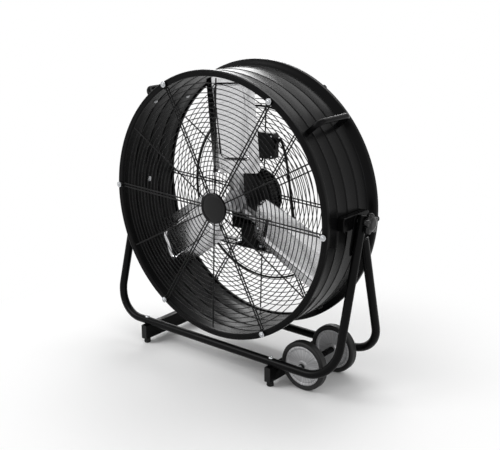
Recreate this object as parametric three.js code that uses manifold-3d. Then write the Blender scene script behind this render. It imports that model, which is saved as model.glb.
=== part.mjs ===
// Drum fan on a wheeled tube stand.  Millimetres, +Z up, floor at z = 0.
// The air leaves the drum towards -Y, and the wheels are on the +X side.

import * as THREE from 'three';
import { mergeVertices } from 'three/addons/utils/BufferGeometryUtils.js';
import Module from 'manifold-3d';

const wasm = await Module();
wasm.setup();

// ---------------------------------------------------------------- driving sizes

const gap = 0.3;                 // running and seating clearance between pieces
const axisHeight = 501;          // floor to the drum's axis
const pivotRise = 8;             // tilt pivot above the drum's axis

// drum shell
const barrelRadius = 392;        // outside of the sheet between the rims
const sheet = 2;                 // sheet thickness
const frontRimRadius = 400;
const rearRimRadius = 412;
const frontLipRadius = 381;      // clear opening of the front rim
const rearLipRadius = 386;       // clear opening of the rear rim
const frontFace = -124;          // y of the front rim's face
const rearFace = 117;            // y of the rear rim's face
const frontRimDepth = 16;        // straight band of the front rim
const rimStep = 6;               // length of the step from the front band to the barrel
const flareStart = 86;           // y where the rear flare begins
const flareEnd = 104;            // y where the flare meets the rear band
const lipReturn = 10;            // length of the turned-in lips
const rimBevel = 4;
const beadPlaces = [-62, -14, 40];
const beadHeight = 1.8;
const beadHalfWidth = 5;
const drumSegments = 40;

// guards
const ringWire = 2.6;            // diameter of the ring wires
const ringPitch = 14;
const ringFirstRadius = 54;
const ringCount = 23;
const ringBite = 0.6;            // how far the welded single spokes sink into the rings
const weldedSingles = [1, 4];    // the single spokes that carry the rings
const coarseRingRadius = 120;    // rings inside this radius have fewer segments
const ringSegments = 20;
const ringSegmentsInside = 14;
const spokeWire = 4.4;
const spokePairSpacing = 8.8;    // centre to centre of a double spoke
const spokePairs = 6;
const guardTurn = -2;            // degrees, how far the guards are turned in their rims
const guardPlateRadius = 46;
const guardPlateThickness = 3;
const frontGuardRecess = 5;      // spokes' plane behind the front face
const rearGuardRecess = 5;
const supportRingRadius = 271;   // thick ring of the rear guard
const supportRingWire = 7;
const clipRadius = 9;            // washer under each clip screw
const clipScrewRadius = 5.2;
const clipShankRadius = 2.5;

// hub badge
const badgeRadius = 46;
const badgeThickness = 6;

// rotor
const bladeCount = 3;
const firstBladeAngle = 94;      // degrees from +X towards +Z
const bladeTipRadius = 374;
const bladeRootRadius = 98;
const bladeSheet = 1.8;
const bladeTrailing = -82;       // chord reach on the trailing side
const bladeLeading = 88;         // chord reach on the leading side
const bladePitchRoot = 20;       // degrees at the root
const bladePitchTip = 10;        // degrees at the tip
const bladePlane = -23;          // y of the blades' middle
const panelInner = 145;          // pressed panel of each blade
const panelOuter = 344;
const panelHalfWidth = 46;
const panelEdge = 4;
const panelDepth = 3;
const trailingFold = 20;         // width of the folded trailing edge
const trailingFoldDepth = 12;
const armOuter = 140;
const armInner = 30;
const armHalfWidthInner = 17;
const armHalfWidthOuter = 40;
const armSheet = 3;
const hubRadius = 34;
const hubLength = 46;
const shaftRadius = 8;

// motor
const motorRadius = 85;
const motorFront = 38;           // y of the motor's front end
const motorRear = 94;
const motorFins = 24;
const finDepth = 9;
const endCoverDepth = 9;

// motor support
const railDrop = 157;            // drum axis down to the top of the rails
const railThickness = 5;
const railWidth = 20;
const railFrontPlace = 47;       // y of the middle of the front rail
const railRearPlace = 81;
const railTabAngle = 5;          // degrees of drum wall that each end tab covers
const railTabThickness = 4;
const pedestalHalfWidth = 30;
const pedestalWall = 5;
const saddleHalfWidth = 66;
const saddleDrop = 104;          // drum axis down to the underside of the saddle
const pedestalFootHalfWidth = 55;

// switch box
const switchAngle = 81.5;         // degrees
const switchRing = 7;            // the spindle passes outside this ring of the rear guard
const boxWidth = 78;
const boxHeight = 78;
const boxDepth = 28;
const boxWall = 2.5;
const boxLid = 3;
const speedKnobRadius = 18;
const speedKnobLength = 16;
const spindleRadius = 2.5;
const bossRadius = 9;            // round lead entry on the box's side
const bossLength = 9;
const bossRise = 18;             // above the box's middle

// leads
const supplyLeadRadius = 4;
const motorLeadRadius = 3;
const glandAngle = -50;          // degrees, where the lead leaves the drum wall
const glandPlace = 63;           // y of the gland
const glandRadius = 8;
const glandFlange = 12;

// lifting handles
const handleTube = 16;
const handleReach = 440;         // drum axis to the centre of the grip
const handleBend = 20;
const handleFrontLeg = -75.5;     // y of the front leg
const handleRearLeg = 67;
const handleSpread = 47;         // degrees either side of the drum's highest line
const handleLean = 3;            // degrees, both handles set towards the wheels

// tilt pivots
const boltRadius = 5;
const boltHeadRadius = 9;
const boltHeadThickness = 6;
const bracketFront = -66;        // y
const bracketRear = 62;
const bracketHalfHeight = 20;
const bracketWall = 3;
const bracketCorner = 8;
const plateThickness = 3;
const plateTopRadius = 20;
const plateDrop = 92;            // pivot down to the lower edge of the side plate
const plateHalfWidth = 36;
const knobRadius = 31;
const knobLobes = 5;
const knobThickness = 17;
const knobCollar = 5;
const knobCollarRadius = 14;

// stand
const tubeRadius = 12.5;
const tubeSides = 10;
const standHalfWidth = 430;      // middle of the risers
const standHalfDepth = 118;      // y of the lower tubes
const tubeBend = 100;
const bendSteps = 5;
const riserOvershoot = 17;       // front riser above the pivot
const rearRiserShort = 50;       // rear riser stops this far short of the pivot
const barWidth = 22;
const barHeight = 46.5;
const barHalfLength = 137;
const screwRadius = 3.5;         // screws through the tubes into the bars
const screwHeadRadius = 7.5;
const screwHeadHeight = 4;
const barBevel = 2.5;
const leftBarPlace = -297;       // x
const rightBarPlace = 209;
const footRadius = 11;
const footHeight = 15;
const footInset = 15;            // from the bar's end to the middle of the foot

// wheels
const wheelRadius = 74;
const wheelWidth = 26;
const wheelSpread = 76;          // y of the middle of each wheel
const wheelPlace = 298;          // x
const discRadius = 60;
const axleRadius = 6;
const axleSeat = 4;              // depth of the axle's ends in the lower tubes
const axleCapRadius = 9;
const axleCapDepth = 6;
const sleeveRadius = 9;

const rad = Math.PI / 180;

// ---------------------------------------------------------------- materials

const finish = (name, color, roughness, metalness) =>
  new THREE.MeshStandardMaterial({ name, color, roughness, metalness });
const blackPaint = finish('black_paint', 0x17181a, 0.35, 0.3);
const wirePaint = finish('wire_paint', 0x101112, 0.4, 0.3);
const zinc = finish('zinc', 0xc9ccd0, 0.3, 0.9);
const bladeMetal = finish('blade_metal', 0x9b9da0, 0.4, 0.8);
const castBlack = finish('motor_black', 0x121314, 0.55, 0.3);
const blackPlastic = finish('black_plastic', 0x151618, 0.5, 0);
const cableBlack = finish('cable_black', 0x0e0e0f, 0.6, 0);
const rubber = finish('rubber', 0x1a1a1b, 0.85, 0);
const greyPlastic = finish('grey_plastic', 0xa7a8a9, 0.45, 0.1);

// ---------------------------------------------------------------- helpers

// One closed mesh: shared corners merged, empty faces dropped, faces pointing out.
function closed(geometry) {
  const plain = geometry.clone();
  for (const extra of ['normal', 'uv']) {
    if (plain.getAttribute(extra)) plain.deleteAttribute(extra);
  }
  const merged = mergeVertices(plain, 1e-4);
  const places = merged.getAttribute('position');
  const kept = [];
  let volume = 0;
  const a = new THREE.Vector3();
  const b = new THREE.Vector3();
  const c = new THREE.Vector3();
  for (let i = 0; i < merged.index.count; i += 3) {
    const face = [merged.index.getX(i), merged.index.getX(i + 1), merged.index.getX(i + 2)];
    if (face[0] === face[1] || face[1] === face[2] || face[0] === face[2]) continue;
    a.fromBufferAttribute(places, face[0]);
    b.fromBufferAttribute(places, face[1]);
    c.fromBufferAttribute(places, face[2]);
    volume += a.dot(b.cross(c));
    kept.push(...face);
  }
  if (volume < 0) kept.reverse();
  merged.setIndex(kept);
  return merged;
}

function solid(geometry) {
  const merged = closed(geometry);
  return new wasm.Manifold(new wasm.Mesh({
    numProp: 3,
    vertProperties: new Float32Array(merged.getAttribute('position').array),
    triVerts: new Uint32Array(merged.index.array),
  }));
}

function geometryOf(body) {
  const mesh = body.getMesh();
  const geometry = new THREE.BufferGeometry();
  geometry.setAttribute('position', new THREE.BufferAttribute(mesh.vertProperties, 3));
  geometry.setIndex(new THREE.BufferAttribute(mesh.triVerts, 1));
  return geometry;
}

const joined = (...parts) => geometryOf(parts.map(solid).reduce((all, next) => all.add(next)));
const cut = (body, ...tools) =>
  geometryOf(tools.map(solid).reduce((rest, tool) => rest.subtract(tool), solid(body)));

// A solid of revolution about Y from [radius, y] pairs.
const turned = (pairs, segments) =>
  closed(new THREE.LatheGeometry(pairs.map(([r, y]) => new THREE.Vector2(r, y)), segments));

// The same for a section that closes on itself, such as a ring or a shell.
const turnedRing = (pairs, segments) => turned([...pairs, pairs[0]], segments);

// A round bar along Y, from y0 to y1.
const rodY = (radius, y0, y1, sides = 16) =>
  new THREE.CylinderGeometry(radius, radius, y1 - y0, sides).translate(0, (y0 + y1) / 2, 0);

// A round bar along X, from x0 to x1.
const rodX = (radius, x0, x1, sides = 16) =>
  new THREE.CylinderGeometry(radius, radius, x1 - x0, sides)
    .rotateZ(Math.PI / 2).translate((x0 + x1) / 2, 0, 0);

const block = (x0, x1, y0, y1, z0, z1) => new THREE.BoxGeometry(x1 - x0, y1 - y0, z1 - z0)
  .translate((x0 + x1) / 2, (y0 + y1) / 2, (z0 + z1) / 2);

// An outline in (y, z), extruded along X from x0 to x1.
const slabX = (outline, x0, x1, curveSegments = 3) => {
  const geometry = new THREE.ExtrudeGeometry(outline, {
    depth: x1 - x0, bevelEnabled: false, curveSegments,
  });
  geometry.rotateX(Math.PI / 2).rotateZ(Math.PI / 2);
  return geometry.translate(x0, 0, 0);
};

// An outline in (x, z), extruded along Y from y0 to y1.
const slabY = (outline, y0, y1, curveSegments = 2) => {
  const geometry = new THREE.ExtrudeGeometry(outline, {
    depth: y1 - y0, bevelEnabled: false, curveSegments,
  });
  return geometry.rotateX(Math.PI / 2).translate(0, y1, 0);
};

const point = (x, y, z) => new THREE.Vector3(x, y, z);

const polygon = (pairs) => new THREE.Shape(pairs.map(([u, v]) => new THREE.Vector2(u, v)));

function roundedRectangle(width, height, corner) {
  const w = width / 2;
  const h = height / 2;
  const shape = new THREE.Shape();
  shape.moveTo(-w + corner, -h);
  shape.lineTo(w - corner, -h);
  shape.absarc(w - corner, -h + corner, corner, -Math.PI / 2, 0);
  shape.lineTo(w, h - corner);
  shape.absarc(w - corner, h - corner, corner, 0, Math.PI / 2);
  shape.lineTo(-w + corner, h);
  shape.absarc(-w + corner, h - corner, corner, Math.PI / 2, Math.PI);
  shape.lineTo(-w, -h + corner);
  shape.absarc(-w + corner, -h + corner, corner, Math.PI, 1.5 * Math.PI);
  return shape;
}

// A path that is swept station by station, so straight runs cost one step.
class StationPath extends THREE.Curve {
  constructor(stations) {
    super();
    this.stations = stations;
  }

  getPointAt(u) {
    return this.stations[Math.round(u * (this.stations.length - 1))].clone();
  }

  getSpacedPoints(steps) {
    return Array.from({ length: steps + 1 }, (_, i) => this.getPointAt(i / steps));
  }

  getTangentAt(u) {
    const last = this.stations.length - 1;
    const i = Math.round(u * last);
    const before = this.stations[Math.max(i - 1, 0)];
    const here = this.stations[i];
    const after = this.stations[Math.min(i + 1, last)];
    const tangent = new THREE.Vector3();
    if (i > 0) tangent.add(here.clone().sub(before).normalize());
    if (i < last) tangent.add(after.clone().sub(here).normalize());
    return tangent.normalize();
  }
}

function wire(stations, radius, sides) {
  const section = polygon(Array.from({ length: sides }, (_, i) => {
    const angle = (i + 0.5) * 2 * Math.PI / sides;
    return [radius * Math.cos(angle), radius * Math.sin(angle)];
  }));
  return new THREE.ExtrudeGeometry(section, {
    steps: stations.length - 1,
    extrudePath: new StationPath(stations),
  });
}

// Stations round a bend between two straight runs, in the plane of its three corners.
function bendStations(from, corner, to, radius, steps) {
  const inward = from.clone().sub(corner).normalize();
  const outward = to.clone().sub(corner).normalize();
  const half = inward.angleTo(outward) / 2;
  const setback = radius / Math.tan(half);
  const centre = corner.clone().add(
    inward.clone().add(outward).normalize().multiplyScalar(radius / Math.sin(half)));
  const start = corner.clone().addScaledVector(inward, setback).sub(centre);
  const end = corner.clone().addScaledVector(outward, setback).sub(centre);
  const sweep = Math.PI - 2 * half;
  return Array.from({ length: steps + 1 }, (_, i) => {
    const t = i / steps;
    const s0 = Math.sin((1 - t) * sweep) / Math.sin(sweep);
    const s1 = Math.sin(t * sweep) / Math.sin(sweep);
    return centre.clone().addScaledVector(start, s0).addScaledVector(end, s1);
  });
}

function bentWire(corners, radius, sides, bend, steps) {
  const stations = [corners[0]];
  for (let i = 1; i < corners.length - 1; i += 1) {
    stations.push(...bendStations(corners[i - 1], corners[i], corners[i + 1], bend, steps));
  }
  stations.push(corners[corners.length - 1]);
  return wire(stations, radius, sides);
}

const group = new THREE.Group();
const drum = new THREE.Group();
drum.position.z = axisHeight;
group.add(drum);

function place(name, geometry, material, parent) {
  const mesh = new THREE.Mesh(geometry, material);
  mesh.name = name;
  parent.add(mesh);
  return mesh;
}

// Turns a piece made on the +X axis to an angle about the drum's axis.
const turnAbout = (mesh, degrees) => {
  mesh.rotation.y = -degrees * rad;
  return mesh;
};

const barrelInner = barrelRadius - sheet;
const flat = Math.cos(Math.PI / drumSegments);   // facet middle over facet corner

// ---------------------------------------------------------------- drum shell

function drumShell() {
  const bandRear = frontFace + frontRimDepth;
  const stepRear = bandRear + rimStep;
  const outside = [
    [frontLipRadius, frontFace + lipReturn],
    [frontLipRadius, frontFace],
    [frontRimRadius - rimBevel, frontFace],
    [frontRimRadius, frontFace + rimBevel],
    [frontRimRadius, bandRear],
    [barrelRadius, stepRear],
  ];
  for (const y of beadPlaces) {
    outside.push([barrelRadius, y - beadHalfWidth]);
    outside.push([barrelRadius + beadHeight, y]);
    outside.push([barrelRadius, y + beadHalfWidth]);
  }
  outside.push(
    [barrelRadius, flareStart],
    [rearRimRadius, flareEnd],
    [rearRimRadius, rearFace - rimBevel],
    [rearRimRadius - rimBevel, rearFace],
    [rearLipRadius, rearFace],
    [rearLipRadius, rearFace - lipReturn],
  );
  const inside = [
    [rearLipRadius + sheet, rearFace - lipReturn],
    [rearLipRadius + sheet, rearFace - sheet],
    [rearRimRadius - sheet, rearFace - sheet],
    [rearRimRadius - sheet, flareEnd + sheet / 2],
    [barrelInner, flareStart + sheet / 2],
    [barrelInner, stepRear - sheet / 2],
    [frontRimRadius - sheet, bandRear - sheet / 2],
    [frontRimRadius - sheet, frontFace + sheet],
    [frontLipRadius + sheet, frontFace + sheet],
    [frontLipRadius + sheet, frontFace + lipReturn],
  ];
  const shell = turnedRing([...outside, ...inside], drumSegments);
  const hole = (radius, degrees, y, z) => rodX(radius, barrelRadius - 12, barrelRadius + 12, 10)
    .translate(0, y, z).rotateY(-degrees * rad);
  return cut(
    shell,
    hole(boltRadius + gap, 0, 0, pivotRise),
    hole(boltRadius + gap, 180, 0, -pivotRise),
    hole(glandRadius + gap, glandAngle, glandPlace, 0),
  );
}
place('drum_shell', drumShell(), blackPaint, drum);

// ---------------------------------------------------------------- guards

const ringRadiusAt = (number) => ringFirstRadius + ringPitch * number;
const spokeRadius = spokeWire / 2;
const spokeTurn = 180 / spokePairs;   // degrees from a double spoke to the next single one

// The single spoke that follows the double spoke of the same number.
const singleSpoke = (plane, lipRadius, number, count) => wire([
  point(guardPlateRadius - (count > 3 ? 6 : 14), plane, 0),
  point(lipRadius - gap - 3, plane, 0),
], spokeRadius, count).rotateY(-(guardTurn + spokeTurn + number * 2 * spokeTurn) * rad);

// Concentric rings and a middle plate, held together by two of the single spokes.
// side is -1 for the front guard and 1 for the rear guard.
// extras are [radius, wire] of further rings.
function guardRings(side, face, recess, lipRadius, ...extras) {
  const plane = face - side * recess;
  const ringPlane = plane - side * (spokeRadius + gap + ringWire / 2);
  const height = ringWire * 0.87;
  const spokeFlat = spokeRadius * Math.cos(Math.PI / 4);
  const singlePlane = ringPlane + side * (height / 2 + spokeFlat - ringBite);
  let body = solid(rodY(guardPlateRadius, ringPlane - guardPlateThickness / 2,
    ringPlane + guardPlateThickness / 2, 24));
  for (const number of weldedSingles) {
    body = body.add(solid(singleSpoke(singlePlane, lipRadius, number, 4)));
  }
  for (let i = 0; i < ringCount; i += 1) {
    const radius = ringRadiusAt(i);
    const ring = turnedRing([
      [radius - ringWire / 2, ringPlane + side * height / 2],
      [radius + ringWire / 2, ringPlane + side * height / 2],
      [radius, ringPlane - side * height / 2],
    ], radius < coarseRingRadius ? ringSegmentsInside : ringSegments);
    body = body.add(solid(ring));
  }
  for (const [radius, size] of extras) {
    const middle = ringPlane + side * (ringWire - size) / 2;
    const section = Array.from({ length: 4 }, (_, i) => [
      radius + size / 2 * Math.cos(i * Math.PI / 2),
      middle + size / 2 * Math.sin(i * Math.PI / 2),
    ]);
    body = body.add(solid(turnedRing(section, 32)));
  }
  return { body, plane, ringPlane };
}

// Double spokes, hairpins with their eyes under the clip screws, and the other single spokes.
function guardHairpins(side, face, plane, lipRadius, eyeRadius) {
  const eyePlane = face + side * (gap + spokeRadius);
  const clearRadius = lipRadius * flat - gap - spokeRadius - 0.6;
  const half = spokePairSpacing / 2;
  const inner = guardPlateRadius * 0.55;
  const run = (t) => [
    point(inner, plane, t),
    point(clearRadius - 6, plane, t),
    point(clearRadius, (plane + face) / 2, t),
    point(clearRadius, eyePlane - side * 1.5, t),
    point(clearRadius + 3, eyePlane, t),
    point(eyeRadius, eyePlane, t),
  ];
  const eye = [1, 2, 3].map((i) => {
    const angle = i * Math.PI / 4;
    return point(eyeRadius + half * Math.sin(angle), eyePlane, half * Math.cos(angle));
  });
  const hairpin = wire([...run(half), ...eye, ...run(-half).reverse()], spokeRadius, 3);
  let body = solid(rodY(guardPlateRadius - 8, plane - guardPlateThickness / 2,
    plane + guardPlateThickness / 2, 20));
  for (let i = 0; i < spokePairs; i += 1) {
    body = body.add(solid(hairpin.clone().rotateY(-(guardTurn + i * 2 * spokeTurn) * rad)));
    if (!weldedSingles.includes(i)) {
      body = body.add(solid(singleSpoke(plane, lipRadius, i, 3)));
    }
  }
  return body;
}

const frontEyeRadius = frontRimRadius - clipRadius - gap;
const rearEyeRadius = rearRimRadius - clipRadius - gap;
const frontRings = guardRings(-1, frontFace, frontGuardRecess, frontLipRadius);
const rearRings = guardRings(1, rearFace, rearGuardRecess, rearLipRadius,
  [supportRingRadius, supportRingWire]);
place('front_guard_rings', geometryOf(frontRings.body), wirePaint, drum);
place('front_guard_spokes', geometryOf(guardHairpins(-1, frontFace, frontRings.plane,
  frontLipRadius, frontEyeRadius)), wirePaint, drum);
place('rear_guard_rings', geometryOf(rearRings.body), wirePaint, drum);

place('rear_guard_spokes', geometryOf(guardHairpins(1, rearFace, rearRings.plane,
  rearLipRadius, rearEyeRadius)), wirePaint, drum);

// Screw with its washer, over the eye of each double spoke.
function clipScrew(side, face, eyeRadius) {
  const y = (distance) => face + side * distance;
  const seat = gap + spokeWire + gap;
  const body = turned([
    [0, y(gap)],
    [clipShankRadius, y(gap)],
    [clipShankRadius, y(seat)],
    [clipRadius, y(seat)],
    [clipRadius, y(seat + 1.6)],
    [clipScrewRadius, y(seat + 4)],
    [0, y(seat + 5)],
  ], 8);
  return body.translate(eyeRadius, 0, 0);
}
const sides = [['front', -1, frontFace, frontEyeRadius], ['rear', 1, rearFace, rearEyeRadius]];
for (const [label, side, face, eyeRadius] of sides) {
  for (let i = 0; i < spokePairs; i += 1) {
    const clip = place(`${label}_clip_${i + 1}`, clipScrew(side, face, eyeRadius), zinc, drum);
    turnAbout(clip, guardTurn + i * 2 * spokeTurn);
  }
}

const badgeBack = frontRings.plane - spokeWire / 2 - gap;
place('hub_badge', turned([
  [0, badgeBack],
  [badgeRadius - 2, badgeBack],
  [badgeRadius, badgeBack - 2],
  [badgeRadius, badgeBack - badgeThickness + 2],
  [badgeRadius - 3, badgeBack - badgeThickness],
  [badgeRadius - 6, badgeBack - badgeThickness + 2],
  [badgeRadius / 2, badgeBack - badgeThickness + 0.6],
  [0, badgeBack - badgeThickness],
], 24), blackPlastic, drum);

// ---------------------------------------------------------------- rotor

const rotor = new THREE.Group();
drum.add(rotor);

const pitchAt = (r) => {
  const t = (r - bladeRootRadius) / (bladeTipRadius - bladeRootRadius);
  return (bladePitchRoot + (bladePitchTip - bladePitchRoot) * t) * rad;
};

// A point of the blade's middle surface on the +X axis: r outwards, c along the chord
// towards the leading edge.
function bladePoint(r, c, lift) {
  const pitch = pitchAt(r);
  return new THREE.Vector3(
    r,
    bladePlane + c * Math.sin(pitch) + lift * Math.cos(pitch),
    -c * Math.cos(pitch) + lift * Math.sin(pitch),
  );
}

// A sheet between two surfaces over a grid of (r, c) stations.
function sheetOver(rows, columns, liftAt, thickness) {
  const points = [];
  const faces = [];
  const width = columns(0).length;
  for (const top of [0, 1]) {
    rows.forEach((row, i) => {
      columns(i).forEach((c) => {
        const r = Math.min(row, Math.sqrt(bladeTipRadius ** 2 - c ** 2));
        const p = bladePoint(r, c, liftAt(r, c) + (top ? thickness : 0));
        points.push(p.x, p.y, p.z);
      });
    });
  }
  const layer = rows.length * width;
  const quad = (a, b, c, d) => faces.push(a, b, c, a, c, d);
  for (let i = 0; i < rows.length - 1; i += 1) {
    for (let j = 0; j < width - 1; j += 1) {
      const a = i * width + j;
      quad(a, a + 1, a + width + 1, a + width);
      quad(layer + a, layer + a + width, layer + a + width + 1, layer + a + 1);
    }
  }
  const edge = (a, b) => quad(b, a, layer + a, layer + b);
  for (let j = 0; j < width - 1; j += 1) {
    edge(j, j + 1);
    edge((rows.length - 1) * width + j + 1, (rows.length - 1) * width + j);
  }
  for (let i = 0; i < rows.length - 1; i += 1) {
    edge((i + 1) * width, i * width);
    edge(i * width + width - 1, (i + 1) * width + width - 1);
  }
  const geometry = new THREE.BufferGeometry();
  geometry.setAttribute('position', new THREE.Float32BufferAttribute(points, 3));
  geometry.setIndex(faces);
  return closed(geometry);
}

function blade() {
  const rows = [
    bladeRootRadius, 118, panelInner, panelInner + panelEdge,
    (panelInner + panelOuter) / 2, panelOuter - panelEdge, panelOuter, 360, bladeTipRadius,
  ];
  const rootNarrowing = 30;
  const columns = (i) => {
    const narrow = [rootNarrowing, 6, 0, 0, 0, 0, 0, 2, 12][i];
    return [
      bladeTrailing + narrow,
      bladeTrailing + trailingFold + narrow * 0.6,
      -panelHalfWidth, -panelHalfWidth + panelEdge, 0,
      panelHalfWidth - panelEdge, panelHalfWidth, 68 - narrow * 0.5, bladeLeading - narrow,
    ];
  };
  const inPanel = (r, c) => r > panelInner + 1 && r < panelOuter - 1
    && Math.abs(c) < panelHalfWidth - 1;
  const liftAt = (r, c) => {
    if (inPanel(r, c)) return panelDepth;
    return c < bladeTrailing + trailingFold - 1 && r > 110 ? trailingFoldDepth : 0;
  };
  return sheetOver(rows, columns, liftAt, bladeSheet);
}

function spider() {
  const rows = [armInner, 60, bladeRootRadius, armOuter];
  const columns = (i) => {
    const t = (rows[i] - armInner) / (armOuter - armInner);
    const half = armHalfWidthInner + (armHalfWidthOuter - armHalfWidthInner) * t;
    return [-half, 0, half];
  };
  const arm = sheetOver(rows, columns, () => bladeSheet + gap, armSheet);
  const hub = turned([
    [0, bladePlane - hubLength / 2],
    [hubRadius, bladePlane - hubLength / 2],
    [hubRadius, bladePlane + hubLength / 2],
    [0, bladePlane + hubLength / 2],
  ], 20);
  let body = solid(hub);
  for (let i = 0; i < bladeCount; i += 1) {
    body = body.add(solid(arm.clone().rotateY(-(firstBladeAngle + i * 360 / bladeCount) * rad)));
  }
  const bore = rodY(shaftRadius + gap, bladePlane - hubLength, bladePlane + hubLength, 12);
  return geometryOf(body.subtract(solid(bore)));
}
for (let i = 0; i < bladeCount; i += 1) {
  turnAbout(place(`blade_${i + 1}`, blade(), bladeMetal, rotor),
    firstBladeAngle + i * 360 / bladeCount);
}
place('rotor_spider', spider(), bladeMetal, rotor);
place('motor_shaft', rodY(shaftRadius, bladePlane - hubLength / 2 - 4, motorFront + 18, 12),
  zinc, rotor);

// ---------------------------------------------------------------- motor

function motorBody() {
  const outline = new THREE.Shape();
  const finPitch = 2 * Math.PI / motorFins;
  const rootRadius = motorRadius - finDepth;
  for (let i = 0; i < motorFins; i += 1) {
    const stops = [
      [rootRadius, 0.0], [rootRadius, 0.5], [motorRadius, 0.55], [motorRadius, 0.95],
    ];
    for (const [radius, share] of stops) {
      const angle = (i + share) * finPitch;
      const x = radius * Math.cos(angle);
      const z = radius * Math.sin(angle);
      if (i === 0 && share === 0) outline.moveTo(x, z);
      else outline.lineTo(x, z);
    }
  }
  const finned = slabY(outline, motorFront + 8, motorRear);
  const nose = turned([
    [0, motorFront],
    [rootRadius - 22, motorFront],
    [rootRadius - 4, motorFront + 9],
    [0, motorFront + 9],
  ], 24);
  const bore = rodY(shaftRadius + gap, motorFront - 1, motorFront + 18 + gap, 12);
  return cut(joined(finned, nose), bore);
}
place('motor_body', motorBody(), castBlack, drum);
place('motor_end_cover', turned([
  [0, motorRear + gap],
  [motorRadius - 3, motorRear + gap],
  [motorRadius - 3, motorRear + 3],
  [motorRadius - 16, motorRear + endCoverDepth],
  [0, motorRear + endCoverDepth],
], 24), castBlack, drum);

// A flat bar across the drum with its ends turned up along the wall.
function motorRail(y) {
  const outer = barrelInner * flat - gap;
  const inner = outer - railTabThickness;
  const low = -railDrop - railThickness;
  const angleAt = (radius, z) => Math.asin(z / radius);
  const a0 = angleAt(outer, low);
  const a1 = a0 + railTabAngle * rad;
  const arc = (radius, from, to, steps) => Array.from({ length: steps + 1 }, (_, i) => {
    const angle = from + (to - from) * i / steps;
    return [radius * Math.cos(angle), radius * Math.sin(angle)];
  });
  const right = [
    ...arc(outer, a0, a1, 3),
    ...arc(inner, a1, angleAt(inner, -railDrop), 2),
  ];
  const left = right.map(([x, z]) => [-x, z]).reverse();
  return slabY(polygon([...right, ...left]), y - railWidth / 2, y + railWidth / 2);
}
place('motor_rail_front', motorRail(railFrontPlace), blackPaint, drum);
place('motor_rail_rear', motorRail(railRearPlace), blackPaint, drum);

function motorPedestal() {
  const front = railFrontPlace - railWidth / 2;
  const rear = railRearPlace + railWidth / 2;
  const footTop = -railDrop + gap + pedestalWall;
  const saddle = block(-saddleHalfWidth, saddleHalfWidth, front + 4, rear - 4,
    -saddleDrop, -motorRadius * 0.62);
  const web = block(-pedestalHalfWidth, pedestalHalfWidth, front + 14, rear - 14,
    footTop - 1, -saddleDrop + 1);
  const foot = block(-pedestalFootHalfWidth, pedestalFootHalfWidth, front, rear,
    -railDrop + gap, footTop);
  const clearance = rodY(motorRadius + gap, front - 5, rear + 5, 48);
  return cut(joined(saddle, web, foot), clearance);
}
place('motor_pedestal', motorPedestal(), blackPaint, drum);

// ---------------------------------------------------------------- switch box and leads

const spindleReach = ringRadiusAt(switchRing + 0.5);
const spindleX = spindleReach * Math.cos(switchAngle * rad);
const spindleZ = spindleReach * Math.sin(switchAngle * rad);
const boxRear = rearRings.ringPlane - ringWire / 2 - gap;
const boxFront = boxRear - boxDepth;
const bossPlane = boxRear - bossRadius - 2;

function switchBox() {
  const shell = slabY(roundedRectangle(boxWidth, boxHeight, 8), boxFront + boxLid + gap, boxRear);
  const room = slabY(roundedRectangle(boxWidth - 2 * boxWall, boxHeight - 2 * boxWall, 6),
    boxFront, boxRear - boxWall);
  const spindleHole = rodY(spindleRadius + gap, boxRear - 10, boxRear + 5, 10);
  const boss = rodX(bossRadius, boxWidth / 2 - 1, boxWidth / 2 + bossLength, 12)
    .translate(0, bossPlane, bossRise);
  return cut(joined(shell, boss), room, spindleHole).translate(spindleX, 0, spindleZ);
}
place('switch_box', switchBox(), blackPlastic, drum);
place('switch_box_lid', slabY(roundedRectangle(boxWidth, boxHeight, 8), boxFront, boxFront + boxLid)
  .translate(spindleX, 0, spindleZ), blackPlastic, drum);

function speedKnob() {
  const seat = rearRings.plane + spokeWire / 2 + 2;
  const spindle = rodY(spindleRadius, boxRear - boxWall - 3, seat + 2, 10);
  const grip = turned([
    [0, seat],
    [speedKnobRadius, seat],
    [speedKnobRadius, seat + 4],
    [speedKnobRadius - 3, seat + 6],
    [speedKnobRadius - 5, seat + speedKnobLength],
    [0, seat + speedKnobLength],
  ], 16);
  const pointer = block(-1.2, 1.2, seat + 5, seat + speedKnobLength + 1, 0, speedKnobRadius - 2);
  return joined(spindle, grip, pointer);
}
const speedKnobMesh = place('speed_knob', speedKnob(), blackPlastic, drum);
speedKnobMesh.position.set(spindleX, 0, spindleZ);

const boxRight = spindleX + boxWidth / 2 + bossLength + 3 * gap;
const leadPlane = boxRear - supportRingWire - supplyLeadRadius;
const onWall = (radius, degrees, y) =>
  point(radius * Math.cos(degrees * rad), y, radius * Math.sin(degrees * rad));
const glandInside = Math.sqrt((barrelInner * flat) ** 2 - glandFlange ** 2) - gap - 3;
const leadCorners = [
  point(boxRight, bossPlane, spindleZ + bossRise),
  point(boxRight + 9, bossPlane, spindleZ + bossRise),
  point(boxRight + 26, leadPlane, 125),
  point(boxRight + 38, leadPlane, 60),
  point(boxRight + 51, leadPlane, -20),
  point(boxRight + 66, leadPlane, -100),
  point(boxRight + 98, leadPlane, -200),
  onWall(glandInside - 60, glandAngle + 2, (leadPlane + glandPlace) / 2),
  onWall(glandInside - 22, glandAngle, glandPlace),
  onWall(glandInside - 3, glandAngle, glandPlace),
];
const leadCurve = new THREE.CatmullRomCurve3(leadCorners, false, 'centripetal');
place('supply_lead', wire(leadCurve.getPoints(24), supplyLeadRadius, 5), cableBlack, drum);

const gland = turned([
  [0, glandInside],
  [glandFlange, glandInside],
  [glandFlange, glandInside + 3],
  [glandRadius, glandInside + 3],
  [glandRadius - 1, barrelRadius + 7],
  [0, barrelRadius + 7],
], 12).rotateZ(-Math.PI / 2).translate(0, glandPlace, 0);
turnAbout(place('lead_gland', gland, blackPlastic, drum), glandAngle);

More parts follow.
